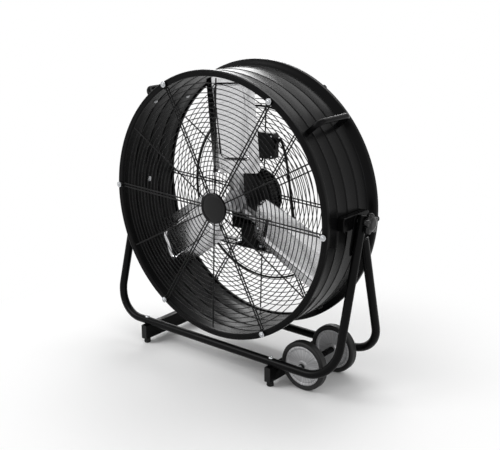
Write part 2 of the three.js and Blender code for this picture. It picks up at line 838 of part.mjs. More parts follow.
const motorTop = motorRadius + gap + motorLeadRadius * 0.2;
const motorLeadCurve = new THREE.CatmullRomCurve3([
  point(spindleX - 14, boxFront + 16, spindleZ - boxHeight / 2 - gap),
  point(spindleX - 15, boxFront + 15, spindleZ - boxHeight / 2 - 14),
  point(spindleX - 24, boxFront + 4, motorTop + 22),
  point(spindleX - 30, boxFront, motorTop + 9),
  point(spindleX - 30, boxFront, motorTop),
]);
place('motor_lead', wire(motorLeadCurve.getPoints(9), motorLeadRadius, 6), cableBlack, drum);

// ---------------------------------------------------------------- lifting handles

// How far out the barrel reaches under a leg that stands at this angle.
function wallUnderLeg(degrees) {
  const facet = 360 / drumSegments;
  const fromMiddle = Math.abs(((90 - degrees) % facet + facet) % facet - facet / 2);
  const reach = Math.min(fromMiddle + handleTube / 2 / barrelRadius / rad, facet / 2);
  return barrelRadius * flat / Math.cos(reach * rad);
}

function handle(degrees) {
  const foot = wallUnderLeg(degrees) + gap;
  return bentWire([
    point(foot, handleFrontLeg, 0),
    point(handleReach, handleFrontLeg, 0),
    point(handleReach, handleRearLeg, 0),
    point(foot, handleRearLeg, 0),
  ], handleTube / 2, 8, handleBend, 4);
}
for (const [label, side] of [['right', -1], ['left', 1]]) {
  const angle = 90 + side * handleSpread - handleLean;
  turnAbout(place(`handle_${label}`, handle(angle), blackPaint, drum), angle);
}

// ---------------------------------------------------------------- tilt pivots

const riserInner = standHalfWidth - tubeRadius;
const riserOuter = standHalfWidth + tubeRadius;
const plateOuter = riserInner - gap;
const plateInner = plateOuter - plateThickness;
const bracketOuter = plateInner - gap;
const pivotHeight = axisHeight + pivotRise;

function tiltBracket() {
  const length = bracketRear - bracketFront;
  const middle = (bracketFront + bracketRear) / 2;
  const outline = roundedRectangle(length, 2 * bracketHalfHeight, bracketCorner);
  const pocket = roundedRectangle(length - 2 * bracketWall, 2 * (bracketHalfHeight - bracketWall),
    bracketCorner - bracketWall);
  const outer = slabX(outline, barrelRadius - 20, bracketOuter).translate(0, middle, 0);
  const inner = slabX(pocket, barrelRadius - 30, bracketOuter - bracketWall)
    .translate(0, middle, 0);
  const wall = rodY(barrelRadius + beadHeight + gap, bracketFront - 10, bracketRear + 10,
    drumSegments).translate(0, 0, -pivotRise);
  const boltHole = rodX(boltRadius + gap, barrelRadius, bracketOuter + 5, 12);
  return cut(outer, inner, wall, boltHole);
}

function tiltBolt() {
  const headSeat = barrelInner * flat - gap - 0.3;
  const head = rodX(boltHeadRadius, headSeat - boltHeadThickness, headSeat, 16);
  const shank = rodX(boltRadius, headSeat - 1, riserOuter + gap + knobCollar + 10, 12);
  return joined(head, shank);
}

function sidePlate() {
  const outline = new THREE.Shape();
  outline.moveTo(-plateHalfWidth, -plateDrop);
  outline.lineTo(plateHalfWidth, -plateDrop);
  outline.lineTo(plateHalfWidth, -plateDrop + 22);
  outline.absarc(0, 0, plateTopRadius, -0.25, Math.PI + 0.25);
  outline.lineTo(-plateHalfWidth, -plateDrop + 22);
  const plate = slabX(outline, plateInner, plateOuter, 12);
  return cut(plate, rodX(boltRadius + gap, plateInner - 5, plateOuter + 5, 12));
}

function tiltKnob() {
  const start = riserOuter + gap;
  const outline = new THREE.Shape();
  const count = knobLobes * 4;
  for (let i = 0; i < count; i += 1) {
    const angle = i * 2 * Math.PI / count;
    const radius = knobRadius * (0.86 + 0.14 * Math.cos(knobLobes * angle));
    const y = radius * Math.sin(angle);
    const z = radius * Math.cos(angle);
    if (i === 0) outline.moveTo(y, z);
    else outline.lineTo(y, z);
  }
  const star = slabX(outline, start + knobCollar, start + knobCollar + knobThickness);
  const collar = rodX(knobCollarRadius, start, start + knobCollar + 1, 16);
  const crown = new THREE.CylinderGeometry(knobRadius * 0.45, knobRadius * 0.62, 4, 16)
    .rotateZ(-Math.PI / 2).translate(start + knobCollar + knobThickness + 1.5, 0, 0);
  const bore = rodX(boltRadius + gap, start - 5, start + knobCollar + 10 + gap, 12);
  return cut(joined(star, collar, crown), bore);
}

const pivotSides = [['right', 1], ['left', -1]];
for (const [label, side] of pivotSides) {
  const pieces = [
    [`tilt_bracket_${label}`, tiltBracket(), blackPaint],
    [`tilt_bolt_${label}`, tiltBolt(), zinc],
    [`side_plate_${label}`, sidePlate(), blackPaint],
    [`tilt_knob_${label}`, tiltKnob(), blackPlastic],
  ];
  for (const [name, geometry, material] of pieces) {
    const mesh = place(name, geometry, material, group);
    mesh.position.z = pivotHeight;
    if (side < 0) mesh.scale.x = -1;
  }
}

// ---------------------------------------------------------------- stand

const barTop = footHeight + barHeight;
const tubeHeight = barTop + gap + tubeRadius;

// One bent tube: two risers and the lower run, in a plane that leans to the pivots.
// end is the distance along the riser from the pivot, above it when positive.
function standTube(side, end) {
  const foot = new THREE.Vector3(0, side * standHalfDepth, tubeHeight);
  const up = new THREE.Vector3(0, 0, pivotHeight).sub(foot);
  const length = up.length() + end;
  up.normalize();
  const corner = (x) => foot.clone().setX(x);
  const top = (x) => corner(x).addScaledVector(up, length);
  return bentWire([
    top(-standHalfWidth), corner(-standHalfWidth), corner(standHalfWidth), top(standHalfWidth),
  ], tubeRadius, tubeSides, tubeBend, bendSteps);
}
const pivotHoles = pivotSides.map(([, side]) =>
  rodX(boltRadius + gap, standHalfWidth - 30, standHalfWidth + 30, 12)
    .translate(side < 0 ? -2 * standHalfWidth : 0, 0, pivotHeight));

// Holes in a lower tube: one blind hole for the axle, and one for each bar's screw.
const tubeHoles = (side) => [
  rodY(axleRadius + gap, -axleSeat - gap, axleSeat + gap, 12)
    .translate(wheelPlace, side * (standHalfDepth - tubeRadius), wheelRadius),
  ...[leftBarPlace, rightBarPlace].map((x) => new THREE.CylinderGeometry(
    screwRadius + gap, screwRadius + gap, 60, 10,
  ).rotateX(Math.PI / 2).translate(x, side * standHalfDepth, tubeHeight)),
];
place('front_stand_tube', cut(standTube(-1, riserOvershoot), ...pivotHoles, ...tubeHoles(-1)),
  blackPaint, group);
place('rear_stand_tube', cut(standTube(1, -rearRiserShort), ...tubeHoles(1)), blackPaint, group);

const barSection = polygon([
  [-barWidth / 2 + barBevel, 0], [barWidth / 2 - barBevel, 0],
  [barWidth / 2, barBevel], [barWidth / 2, barHeight - barBevel],
  [barWidth / 2 - barBevel, barHeight], [-barWidth / 2 + barBevel, barHeight],
  [-barWidth / 2, barHeight - barBevel], [-barWidth / 2, barBevel],
]);

// A bar with the screws that hold it under both lower tubes.
function footBar() {
  const tubeTop = tubeHeight + tubeRadius - footHeight;
  const screws = [-1, 1].flatMap((side) => [
    new THREE.CylinderGeometry(screwRadius, screwRadius, tubeTop - barHeight + 3, 10)
      .rotateX(Math.PI / 2).translate(0, side * standHalfDepth, (tubeTop + barHeight + 1) / 2),
    new THREE.CylinderGeometry(screwHeadRadius * 0.6, screwHeadRadius, screwHeadHeight, 12)
      .rotateX(Math.PI / 2)
      .translate(0, side * standHalfDepth, tubeTop + gap + screwHeadHeight / 2),
  ]);
  return joined(slabY(barSection, -barHalfLength, barHalfLength), ...screws);
}
const footGeometry = turned([
  [0, 0],
  [footRadius - 1.5, 0],
  [footRadius, 2],
  [footRadius - 1, footHeight - gap],
  [0, footHeight - gap],
], 12).rotateX(Math.PI / 2);
for (const [label, x] of [['left', leftBarPlace], ['right', rightBarPlace]]) {
  const bar = place(`foot_bar_${label}`, footBar(), blackPaint, group);
  bar.position.set(x, 0, footHeight);
  for (const [end, side] of [['front', -1], ['rear', 1]]) {
    const foot = place(`rubber_foot_${label}_${end}`, footGeometry.clone(), rubber, group);
    foot.position.set(x, side * (barHalfLength - footInset), 0);
  }
}

// ---------------------------------------------------------------- wheels

const halfWheel = wheelWidth / 2;
const tyre = () => turnedRing([
  [discRadius, -halfWheel + 1],
  [wheelRadius - 8, -halfWheel],
  [wheelRadius - 2, -halfWheel + 4],
  [wheelRadius, 0],
  [wheelRadius - 2, halfWheel - 4],
  [wheelRadius - 8, halfWheel],
  [discRadius, halfWheel - 1],
], 26);
const wheelDisc = () => turnedRing([
  [axleRadius + gap, -halfWheel],
  [14, -halfWheel],
  [16, -halfWheel + 4],
  [discRadius - 8, -halfWheel + 6],
  [discRadius - 5, -halfWheel + 2],
  [discRadius - gap, -halfWheel + 2],
  [discRadius - gap, halfWheel - 2],
  [discRadius - 5, halfWheel - 2],
  [discRadius - 8, halfWheel - 6],
  [16, halfWheel - 4],
  [14, halfWheel],
  [axleRadius + gap, halfWheel],
], 26);
for (const [label, side] of [['front', -1], ['rear', 1]]) {
  const wheel = new THREE.Group();
  wheel.position.set(wheelPlace, side * wheelSpread, wheelRadius);
  group.add(wheel);
  place(`tyre_${label}`, tyre(), rubber, wheel);
  place(`wheel_disc_${label}`, wheelDisc(), greyPlastic, wheel);
  const cap = turnedRing([
    [axleRadius + gap, side * (halfWheel + gap)],
    [axleCapRadius, side * (halfWheel + gap)],
    [axleCapRadius, side * (halfWheel + axleCapDepth - 2)],
    [axleCapRadius - 2, side * (halfWheel + axleCapDepth)],
    [axleRadius + gap, side * (halfWheel + axleCapDepth)],
  ], 12);
  place(`axle_cap_${label}`, cap, blackPlastic, wheel);
}
const axleEnd = standHalfDepth - tubeRadius + axleSeat;
const axle = place('wheel_axle', rodY(axleRadius, -axleEnd, axleEnd, 12), zinc, group);
axle.position.set(wheelPlace, 0, wheelRadius);
const sleeveEnd = wheelSpread - halfWheel - gap;
const sleeve = place('axle_sleeve', turnedRing([
  [axleRadius + gap, -sleeveEnd],
  [sleeveRadius, -sleeveEnd],
  [sleeveRadius, sleeveEnd],
  [axleRadius + gap, sleeveEnd],
], 12), blackPaint, group);
sleeve.position.set(wheelPlace, 0, wheelRadius);

export default group;
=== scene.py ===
"""Drum fan: a wheeled floor fan whose round drum tilts in a bent tube stand."""
import math

import bmesh
import bpy
from mathutils import Matrix, Vector


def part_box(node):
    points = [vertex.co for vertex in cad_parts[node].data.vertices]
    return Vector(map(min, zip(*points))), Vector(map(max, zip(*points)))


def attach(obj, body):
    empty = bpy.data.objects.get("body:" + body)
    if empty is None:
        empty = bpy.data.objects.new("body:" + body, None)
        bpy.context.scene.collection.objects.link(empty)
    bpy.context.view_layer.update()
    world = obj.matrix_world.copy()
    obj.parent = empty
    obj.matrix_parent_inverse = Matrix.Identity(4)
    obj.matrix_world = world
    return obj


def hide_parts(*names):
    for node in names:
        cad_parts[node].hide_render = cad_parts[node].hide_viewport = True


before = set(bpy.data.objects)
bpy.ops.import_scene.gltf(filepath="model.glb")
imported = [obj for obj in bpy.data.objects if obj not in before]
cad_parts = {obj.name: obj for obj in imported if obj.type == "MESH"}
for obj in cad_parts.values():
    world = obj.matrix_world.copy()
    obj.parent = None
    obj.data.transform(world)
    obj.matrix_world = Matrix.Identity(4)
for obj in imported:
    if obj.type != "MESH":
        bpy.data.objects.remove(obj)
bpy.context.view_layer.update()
scene = bpy.context.scene
scene.view_settings.view_transform = "Standard"
mm = 0.001

# ---------------------------------------------------------------- studio
# A pale floor that passes into a white surround. Large soft lamps light the fan from
# the upper left and from the right. A long one draws a line along the drum, and one
# behind puts the bright patch on the top of the barrel.

camera_data = bpy.data.cameras.new("photo_camera")
camera_data.sensor_width = 36
camera_data.lens = 64.45
camera_data.shift_x = -0.0301
camera_data.shift_y = -0.0141
camera = bpy.data.objects.new("photo_camera", camera_data)
camera.location = (1.6697, -1.9998, 1.1917)
camera.rotation_euler = (math.radians(90 - 16.01), 0, math.radians(38.24))
scene.collection.objects.link(camera)
scene.camera = camera


def feed(node, inputs):
    """Gives each input of a node a value, or links it to the socket that feeds it."""
    for name, value in inputs.items():
        if isinstance(value, bpy.types.NodeSocket):
            node.id_data.links.new(value, node.inputs[name])
        else:
            node.inputs[name].default_value = value


def add(tree, kind, inputs=None, **settings):
    """Adds a node with its settings and inputs, and gives its outputs."""
    node = tree.nodes.new(kind)
    for name, setting in settings.items():
        setattr(node, name, setting)
    feed(node, inputs or {})
    return node.outputs


def seen_rays(tree):
    """1 for camera, glossy and transmission rays, and 0 for the rest."""
    path = add(tree, "ShaderNodeLightPath")
    seen = path["Is Camera Ray"]
    for ray in ("Is Glossy Ray", "Is Transmission Ray"):
        seen = add(tree, "ShaderNodeMath", {0: seen, 1: path[ray]}, operation="MAXIMUM")[0]
    return seen


world = bpy.data.worlds.new("studio")
scene.world = world
world.use_nodes = True
surround = world.node_tree
level = add(surround, "ShaderNodeMapRange", {
    "Value": seen_rays(surround), "To Min": 0.62, "To Max": 1.0})
feed(surround.nodes["Background"], {"Color": (1, 1, 1, 1), "Strength": level["Result"]})


def soft_lamp(name, place, aim, size, power):
    """An area lamp of the given width and height in metres, aimed at a point."""
    data = bpy.data.lights.new(name, "AREA")
    data.shape = "RECTANGLE"
    data.size, data.size_y = size
    data.energy = power
    lamp = bpy.data.objects.new(name, data)
    lamp.location = place
    direction = Vector(aim) - Vector(place)
    lamp.rotation_euler = direction.to_track_quat("-Z", "Y").to_euler()
    scene.collection.objects.link(lamp)


soft_lamp("key_lamp", (-2.2, -2.6, 2.8), (0, 0, 0.5), (1.6, 1.6), 60)
soft_lamp("side_lamp", (3.2, -0.6, 1.6), (0.2, 0, 0.4), (1.2, 1.6), 11)
soft_lamp("top_lamp", (-0.4, 1.6, 2.6), (0, 0, 0.7), (2.4, 0.7), 20)
soft_lamp("rim_lamp", (-2.3, 2.7, 1.7), (0, 0, 0.8), (2.0, 0.9), 34)

floor_mesh = bpy.data.meshes.new("floor")
floor_half = 14
floor_mesh.from_pydata([(-floor_half, -floor_half, 0), (floor_half, -floor_half, 0),
                        (floor_half, floor_half, 0), (-floor_half, floor_half, 0)],
                       [], [(0, 1, 2, 3)])
floor_paint = bpy.data.materials.new("floor_paint")
floor_paint.use_nodes = True
paint = floor_paint.node_tree
matte = paint.nodes["Principled BSDF"]
feed(matte, {"Base Color": (0.96, 0.96, 0.96, 1), "Roughness": 0.9, "Specular IOR Level": 0.1})
# Away from the fan the floor passes into the white surround.
floor_place = add(paint, "ShaderNodeTexCoord")["Object"]
distance = add(paint, "ShaderNodeVectorMath", {0: floor_place}, operation="LENGTH")["Value"]
fade = add(paint, "ShaderNodeMapRange", {"Value": distance, "From Min": 0.4, "From Max": 0.98},
           interpolation_type="SMOOTHSTEP")["Result"]
share = add(paint, "ShaderNodeMath", {0: fade, 1: seen_rays(paint)}, operation="MULTIPLY")[0]
white = add(paint, "ShaderNodeEmission")["Emission"]
mixed = add(paint, "ShaderNodeMixShader", {"Fac": share, 1: matte.outputs["BSDF"], 2: white})
feed(paint.nodes["Material Output"], {"Surface": mixed["Shader"]})
floor_mesh.materials.append(floor_paint)
floor = bpy.data.objects.new("floor", floor_mesh)
scene.collection.objects.link(floor)

# ---------------------------------------------------------------- drum shell
# Rolled steel sheet with three raised beads, a band round the front and a flare
# at the back. Both edges are turned in, and all of it is black powder coated.


def middle_of(low, high):
    """Centre of a box."""
    return [(a + b) / 2 for a, b in zip(low, high)]


def half_of(low, high):
    """Half the size of a box along each axis."""
    return [(b - a) / 2 for a, b in zip(low, high)]


shell_low, shell_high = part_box("drum_shell")
axis_height = middle_of(shell_low, shell_high)[2]
front_face = shell_low[1]
rear_face = shell_high[1]
rear_rim = half_of(shell_low, shell_high)[0]
front_rim = rear_rim - 12 * mm
barrel = rear_rim - 20 * mm
front_lip = front_rim - 19 * mm
rear_lip = rear_rim - 26 * mm
sheet = 2 * mm
bead_places = (-62 * mm, -14 * mm, 40 * mm)
bead_half_width = 5 * mm
bead_height = 1.7 * mm
edge_roll = 4 * mm
barrel_sides = 288


def arc(centre, radius, first, last, steps=6):
    """Points of a round stretch, from first to last degrees."""
    angles = (math.radians(first + (last - first) * i / steps) for i in range(steps + 1))
    return [(centre[0] + radius * math.cos(a), centre[1] + radius * math.sin(a)) for a in angles]


def offset_line(points, distance):
    """The same line, moved sideways by distance."""
    moved = []
    for i, here in enumerate(points):
        before = Vector(points[max(i - 1, 0)])
        after = Vector(points[min(i + 1, len(points) - 1)])
        along = (after - before).normalized()
        moved.append((here[0] - along.y * distance, here[1] + along.x * distance))
    return moved


def ring_faces(rings, around, closed=False):
    """Faces between rings of points. Rings that aren't closed get a flat face at each end."""
    faces = []
    if not closed:
        last = rings * around
        faces += [tuple(range(around)), tuple(range(last - 1, last - around - 1, -1))]
    for i in range(rings if closed else rings - 1):
        for j in range(around):
            k, n = (j + 1) % around, (i + 1) % rings
            faces.append((i * around + j, i * around + k, n * around + k, n * around + j))
    return faces


def turned(outline, segments, centre=(0, 0, axis_height), axis="Y"):
    """Vertices and faces of an outline of (radius, height) turned once about an axis."""
    vertices = []
    for i in range(segments):
        a = 2 * math.pi * i / segments
        for radius, height in outline:
            u, v = radius * math.sin(a), radius * math.cos(a)
            point = {"X": (height, u, v), "Y": (u, height, v), "Z": (u, v, height)}[axis]
            vertices.append(tuple(p + c for p, c in zip(point, centre)))
    return vertices, ring_faces(segments, len(outline), closed=True)


def make_piece(name, shape, material, sharp=40):
    """A closed mesh with its doubles merged and its faces turned outwards."""
    vertices, faces = shape
    mesh = bpy.data.meshes.new(name)
    mesh.from_pydata(vertices, [], faces)
    work = bmesh.new()
    work.from_mesh(mesh)
    bmesh.ops.remove_doubles(work, verts=work.verts, dist=1e-6)
    bmesh.ops.dissolve_degenerate(work, edges=work.edges, dist=1e-6)
    bmesh.ops.recalc_face_normals(work, faces=work.faces)
    work.to_mesh(mesh)
    work.free()
    mesh.materials.append(material)
    mesh.shade_smooth()
    mesh.set_sharp_from_angle(angle=math.radians(sharp))
    piece = bpy.data.objects.new(name, mesh)
    scene.collection.objects.link(piece)
    return piece


def node_group(name, kind, inputs, outputs):
    """An empty node group. Each socket is a name and a kind, and may have a value."""
    tree = bpy.data.node_groups.new(name, kind)
    for side, sockets in (("INPUT", inputs), ("OUTPUT", outputs)):
        for label, socket_kind, *value in sockets:
            made = tree.interface.new_socket(name=label, in_out=side,
                                             socket_type="NodeSocket" + socket_kind)
            if value:
                made.default_value = value[0]
    return tree


def surface_grain():
    """Group: fine bumps, and a slow drift that dusts and rubs a surface."""
    tree = node_group("surface_grain", "ShaderNodeTree", (
        ("Grain Scale", "Float", 900.0), ("Drift Scale", "Float", 9.0), ("Low", "Float", 0.3),
        ("High", "Float", 0.45)), (("Roughness", "Float"), ("Drift", "Float"), ("Height", "Float")))
    given = add(tree, "NodeGroupInput")
    place = add(tree, "ShaderNodeTexCoord")["Object"]
    fine = add(tree, "ShaderNodeTexNoise", {
        "Vector": place, "Scale": given["Grain Scale"], "Detail": 2.0})["Fac"]
    slow = add(tree, "ShaderNodeTexNoise", {
        "Vector": place, "Scale": given["Drift Scale"], "Detail": 5.0})["Fac"]
    spread = add(tree, "ShaderNodeMapRange", {
        "Value": slow, "From Min": 0.35, "From Max": 0.65, "To Min": given["Low"],
        "To Max": given["High"]})
    add(tree, "NodeGroupOutput", {"Roughness": spread["Result"], "Drift": slow, "Height": fine})
    return tree


grain_group = surface_grain()


def finish(name, colour, worn, rough, metallic=0.0, specular=0.5, grain=900.0, bump=0.05,
           drift=9.0):
    """A material whose colour drifts towards a worn one, with fine grain and uneven gloss."""
    material = bpy.data.materials.new(name)
    material.use_nodes = True
    tree = material.node_tree
    grains = add(tree, "ShaderNodeGroup", {
        "Grain Scale": grain, "Drift Scale": drift, "Low": rough[0], "High": rough[1]},
        node_tree=grain_group)
    tint = add(tree, "ShaderNodeMix", {
        "Factor": grains["Drift"], "A": (*colour, 1), "B": (*worn, 1)}, data_type="RGBA")
    relief = add(tree, "ShaderNodeBump", {
        "Strength": bump, "Distance": 0.3 * mm, "Height": grains["Height"]})
    feed(tree.nodes["Principled BSDF"], {
        "Base Color": tint["Result"], "Metallic": metallic, "Roughness": grains["Roughness"],
        "Specular IOR Level": specular, "Normal": relief["Normal"]})
    return material


black_paint = finish("black_paint", (0.0022, 0.0022, 0.0024), (0.0038, 0.0038, 0.004),
                     (0.25, 0.29), specular=0.07, grain=700.0, bump=0.004)

line = [(front_lip, front_face + 10 * mm)]
line += arc((front_lip + edge_roll, front_face + edge_roll), edge_roll, 180, 270)
line += arc((front_rim - 7 * mm, front_face - 0.2 * mm), 1.2 * mm, 165, 15, 5)
line += arc((front_rim - edge_roll, front_face + edge_roll), edge_roll, 270, 360)
line += arc((front_rim - 2 * mm, front_face + 14 * mm), 2 * mm, 0, 80, 4)
line += arc((barrel + 2 * mm, front_face + 19 * mm), 2 * mm, 260, 180, 4)
for bead in bead_places:
    for step in range(13):
        t = step / 12
        height = bead_height * math.sin(math.pi * t) ** 2
        line.append((barrel + height, bead + bead_half_width * (2 * t - 1)))
flare_start = rear_face - 31 * mm
flare_end = rear_face - 13 * mm
for step in range(13):
    t = step / 12
    line.append((barrel + (rear_rim - barrel) * (3 * t * t - 2 * t ** 3),
                 flare_start + (flare_end - flare_start) * t))
line += arc((rear_rim - edge_roll, rear_face - edge_roll), edge_roll, 0, 90)
line += arc((rear_rim - 8 * mm, rear_face + 0.2 * mm), 1.2 * mm, 345, 195, 5)
line += arc((rear_lip + edge_roll, rear_face - edge_roll), edge_roll, 90, 180)
line.append((rear_lip, rear_face - 10 * mm))
inside = offset_line(line, sheet)
shell_outline = line + inside[::-1]
shell = make_piece("barrel", turned(shell_outline, barrel_sides), black_paint)
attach(shell, "drum")
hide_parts("drum_shell")

# The straight inner wall that goes on behind the flare.
liner_start = flare_start - 2 * mm
liner_end = rear_face - 13 * mm
liner = make_piece("rear_inner_wall", turned([
    (barrel - sheet, liner_start), (barrel - 0.6 * mm, liner_start),
    (barrel - 0.6 * mm, liner_end - 0.8 * mm), (barrel - 1.3 * mm, liner_end),
    (barrel - sheet, liner_end - 0.8 * mm)], barrel_sides), black_paint)
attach(liner, "drum")

# ---------------------------------------------------------------- wire guards
# Closed rings of drawn wire, welded to single spokes and to hairpin double spokes.
# The hairpins bend out over the rim, and their eyes lie under the clip screws.

ring_wire = 2.6 * mm
ring_pitch = 14 * mm
first_ring = 54 * mm
ring_count = 23
spoke_wire = 4.4 * mm
pair_spacing = 8.8 * mm
hairpin_bend = 2.3 * mm
spoke_pairs = 6
spoke_step = 360 / spoke_pairs
pair_turn = -2
single_turn = 28
plate_radius = 46 * mm
support_ring = 271 * mm
support_wire = 7 * mm
recess = 5 * mm
seat_gap = 0.3 * mm
clip_washer = 9 * mm
wire_paint = finish("wire_paint", (0.0030, 0.0030, 0.0032), (0.005, 0.005, 0.0052),
                    (0.3, 0.4), specular=0.16, grain=1500.0, bump=0.015)


def finish_tree(tree, given, geometry, result, smooth=False):
    """Ends a tree: moves its geometry to the centre, coats it and puts it out."""
    moved = add(tree, "GeometryNodeTransform", {
        "Geometry": geometry, "Translation": given["Centre"]})["Geometry"]
    if smooth:
        moved = add(tree, "GeometryNodeSetShadeSmooth", {"Geometry": moved})["Geometry"]
    coat = add(tree, "GeometryNodeSetMaterial", {"Geometry": moved, "Material": given["Material"]})
    add(tree, "NodeGroupOutput", {result: coat["Geometry"]})
    return tree


def ring_tree():
    """Nodes: a row of round wires about Y, each a pitch wider than the last."""
    tree = node_group("concentric_wires", "GeometryNodeTree", (
        ("Count", "Int", 23), ("First Radius", "Float", 0.054), ("Pitch", "Float", 0.014),
        ("Wire", "Float", 0.0026), ("Centre", "Vector"), ("Material", "Material")),
        (("Rings", "Geometry"),))
    given = add(tree, "NodeGroupInput")
    row = add(tree, "GeometryNodeMeshLine", {"Count": given["Count"], "Offset": (0, 0, 0)})
    circle = add(tree, "GeometryNodeCurvePrimitiveCircle", {"Resolution": 144, "Radius": 1.0})
    index = add(tree, "GeometryNodeInputIndex")
    size = add(tree, "ShaderNodeMath", {
        0: index["Index"], 1: given["Pitch"], 2: given["First Radius"]}, operation="MULTIPLY_ADD")
    copies = add(tree, "GeometryNodeInstanceOnPoints", {
        "Points": row["Mesh"], "Instance": circle["Curve"], "Rotation": (math.pi / 2, 0, 0),
        "Scale": size[0]})
    real = add(tree, "GeometryNodeRealizeInstances", {"Geometry": copies["Instances"]})
    half = add(tree, "ShaderNodeMath", {0: given["Wire"], 1: 0.5}, operation="MULTIPLY")
    section = add(tree, "GeometryNodeCurvePrimitiveCircle", {"Resolution": 8, "Radius": half[0]})
    skin = add(tree, "GeometryNodeCurveToMesh", {
        "Curve": real["Geometry"], "Profile Curve": section["Curve"]})
    return finish_tree(tree, given, skin["Mesh"], "Rings", smooth=True)


def round_tree():
    """Nodes: copies of a piece, turned about Y through a centre by an even step."""
    tree = node_group("repeated_round_axis", "GeometryNodeTree", (
        ("Piece", "Geometry"), ("Count", "Int", 6), ("First Angle", "Float"),
        ("Step Angle", "Float", 60.0), ("Centre", "Vector"), ("Material", "Material")),
        (("Pieces", "Geometry"),))
    given = add(tree, "NodeGroupInput")
    back = add(tree, "ShaderNodeVectorMath", {0: given["Centre"], "Scale": -1.0},
               operation="SCALE")
    middle = add(tree, "GeometryNodeTransform", {
        "Geometry": given["Piece"], "Translation": back["Vector"]})
    row = add(tree, "GeometryNodeMeshLine", {"Count": given["Count"], "Offset": (0, 0, 0)})
    index = add(tree, "GeometryNodeInputIndex")
    angle = add(tree, "ShaderNodeMath", {
        0: index["Index"], 1: given["Step Angle"], 2: given["First Angle"]},
        operation="MULTIPLY_ADD")
    turn = add(tree, "ShaderNodeMath", {0: angle[0], 1: -math.pi / 180}, operation="MULTIPLY")
    about_y = add(tree, "ShaderNodeCombineXYZ", {"Y": turn[0]})
    copies = add(tree, "GeometryNodeInstanceOnPoints", {
        "Points": row["Mesh"], "Instance": middle["Geometry"], "Rotation": about_y["Vector"]})
    real = add(tree, "GeometryNodeRealizeInstances", {"Geometry": copies["Instances"]})
    return finish_tree(tree, given, real["Geometry"], "Pieces")


ring_nodes = ring_tree()
round_nodes = round_tree()


def apply_nodes(piece, tree, **values):
    """Runs a geometry tree on a piece and keeps the plain mesh that it makes."""
    modifier = piece.modifiers.new("nodes", "NODES")
    modifier.node_group = tree
    names = {item.name: item.identifier for item in tree.interface.items_tree
             if item.in_out == "INPUT"}
    for name, value in values.items():
        modifier[names[name.replace("_", " ").title()]] = value
    graph = bpy.context.evaluated_depsgraph_get()
    mesh = bpy.data.meshes.new_from_object(piece.evaluated_get(graph))
    piece.modifiers.clear()
    piece.data = mesh
    return piece


def repeat_round(piece, count, first, step):
    """The piece, repeated about the drum's axis."""
    return apply_nodes(piece, round_nodes, count=count, first_angle=float(first),
                       step_angle=float(step), centre=(0, 0, axis_height),
                       material=piece.data.materials[0])


def swept(path, radius, sides):
    """Vertices and faces of a round bar along a path of points, with closed ends."""
    points = [Vector(p) for p in path]
    last = len(points) - 1
    vertices = []
    side = None
    for i, here in enumerate(points):
        along = (points[min(i + 1, last)] - points[max(i - 1, 0)]).normalized()
        if side is None:
            spare = Vector((0, 0, 1)) if abs(along.z) < 0.9 else Vector((1, 0, 0))
            side = along.cross(spare).normalized()
        side = (side - along * side.dot(along)).normalized()
        other = along.cross(side)
        for j in range(sides):
            a = 2 * math.pi * j / sides
            vertices.append(tuple(here + (side * math.cos(a) + other * math.sin(a)) * radius))
    return vertices, ring_faces(len(points), sides)


def bent_path(corners, bend, steps):
    """Points along straight runs that are joined by round bends."""
    corners = [Vector(c) for c in corners]
    path = [corners[0]]
    for before, corner, after in zip(corners, corners[1:], corners[2:]):
        inward = (before - corner).normalized()
        outward = (after - corner).normalized()
        half = inward.angle(outward) / 2
        reach = bend / math.tan(half)
        centre = corner + (inward + outward).normalized() * bend / math.sin(half)
        start = corner + inward * reach - centre
        end = corner + outward * reach - centre
        sweep = math.pi - 2 * half
        for i in range(steps + 1):
            t = i / steps
            path.append(centre + (start * math.sin((1 - t) * sweep)
                                  + end * math.sin(t * sweep)) / math.sin(sweep))
    path.append(corners[-1])
    return path


def joined(*shapes):
    """Several shapes as one list of vertices and faces."""
    vertices, faces = [], []
    for more_vertices, more_faces in shapes:
        first = len(vertices)
        vertices += more_vertices
        faces += [tuple(first + i for i in face) for face in more_faces]
    return vertices, faces


def stepped(base, side, *places):
    """Outline of (radius, height) in millimetres, with heights from base towards side."""
    return [(radius * mm, base + side * height * mm) for radius, height in places]


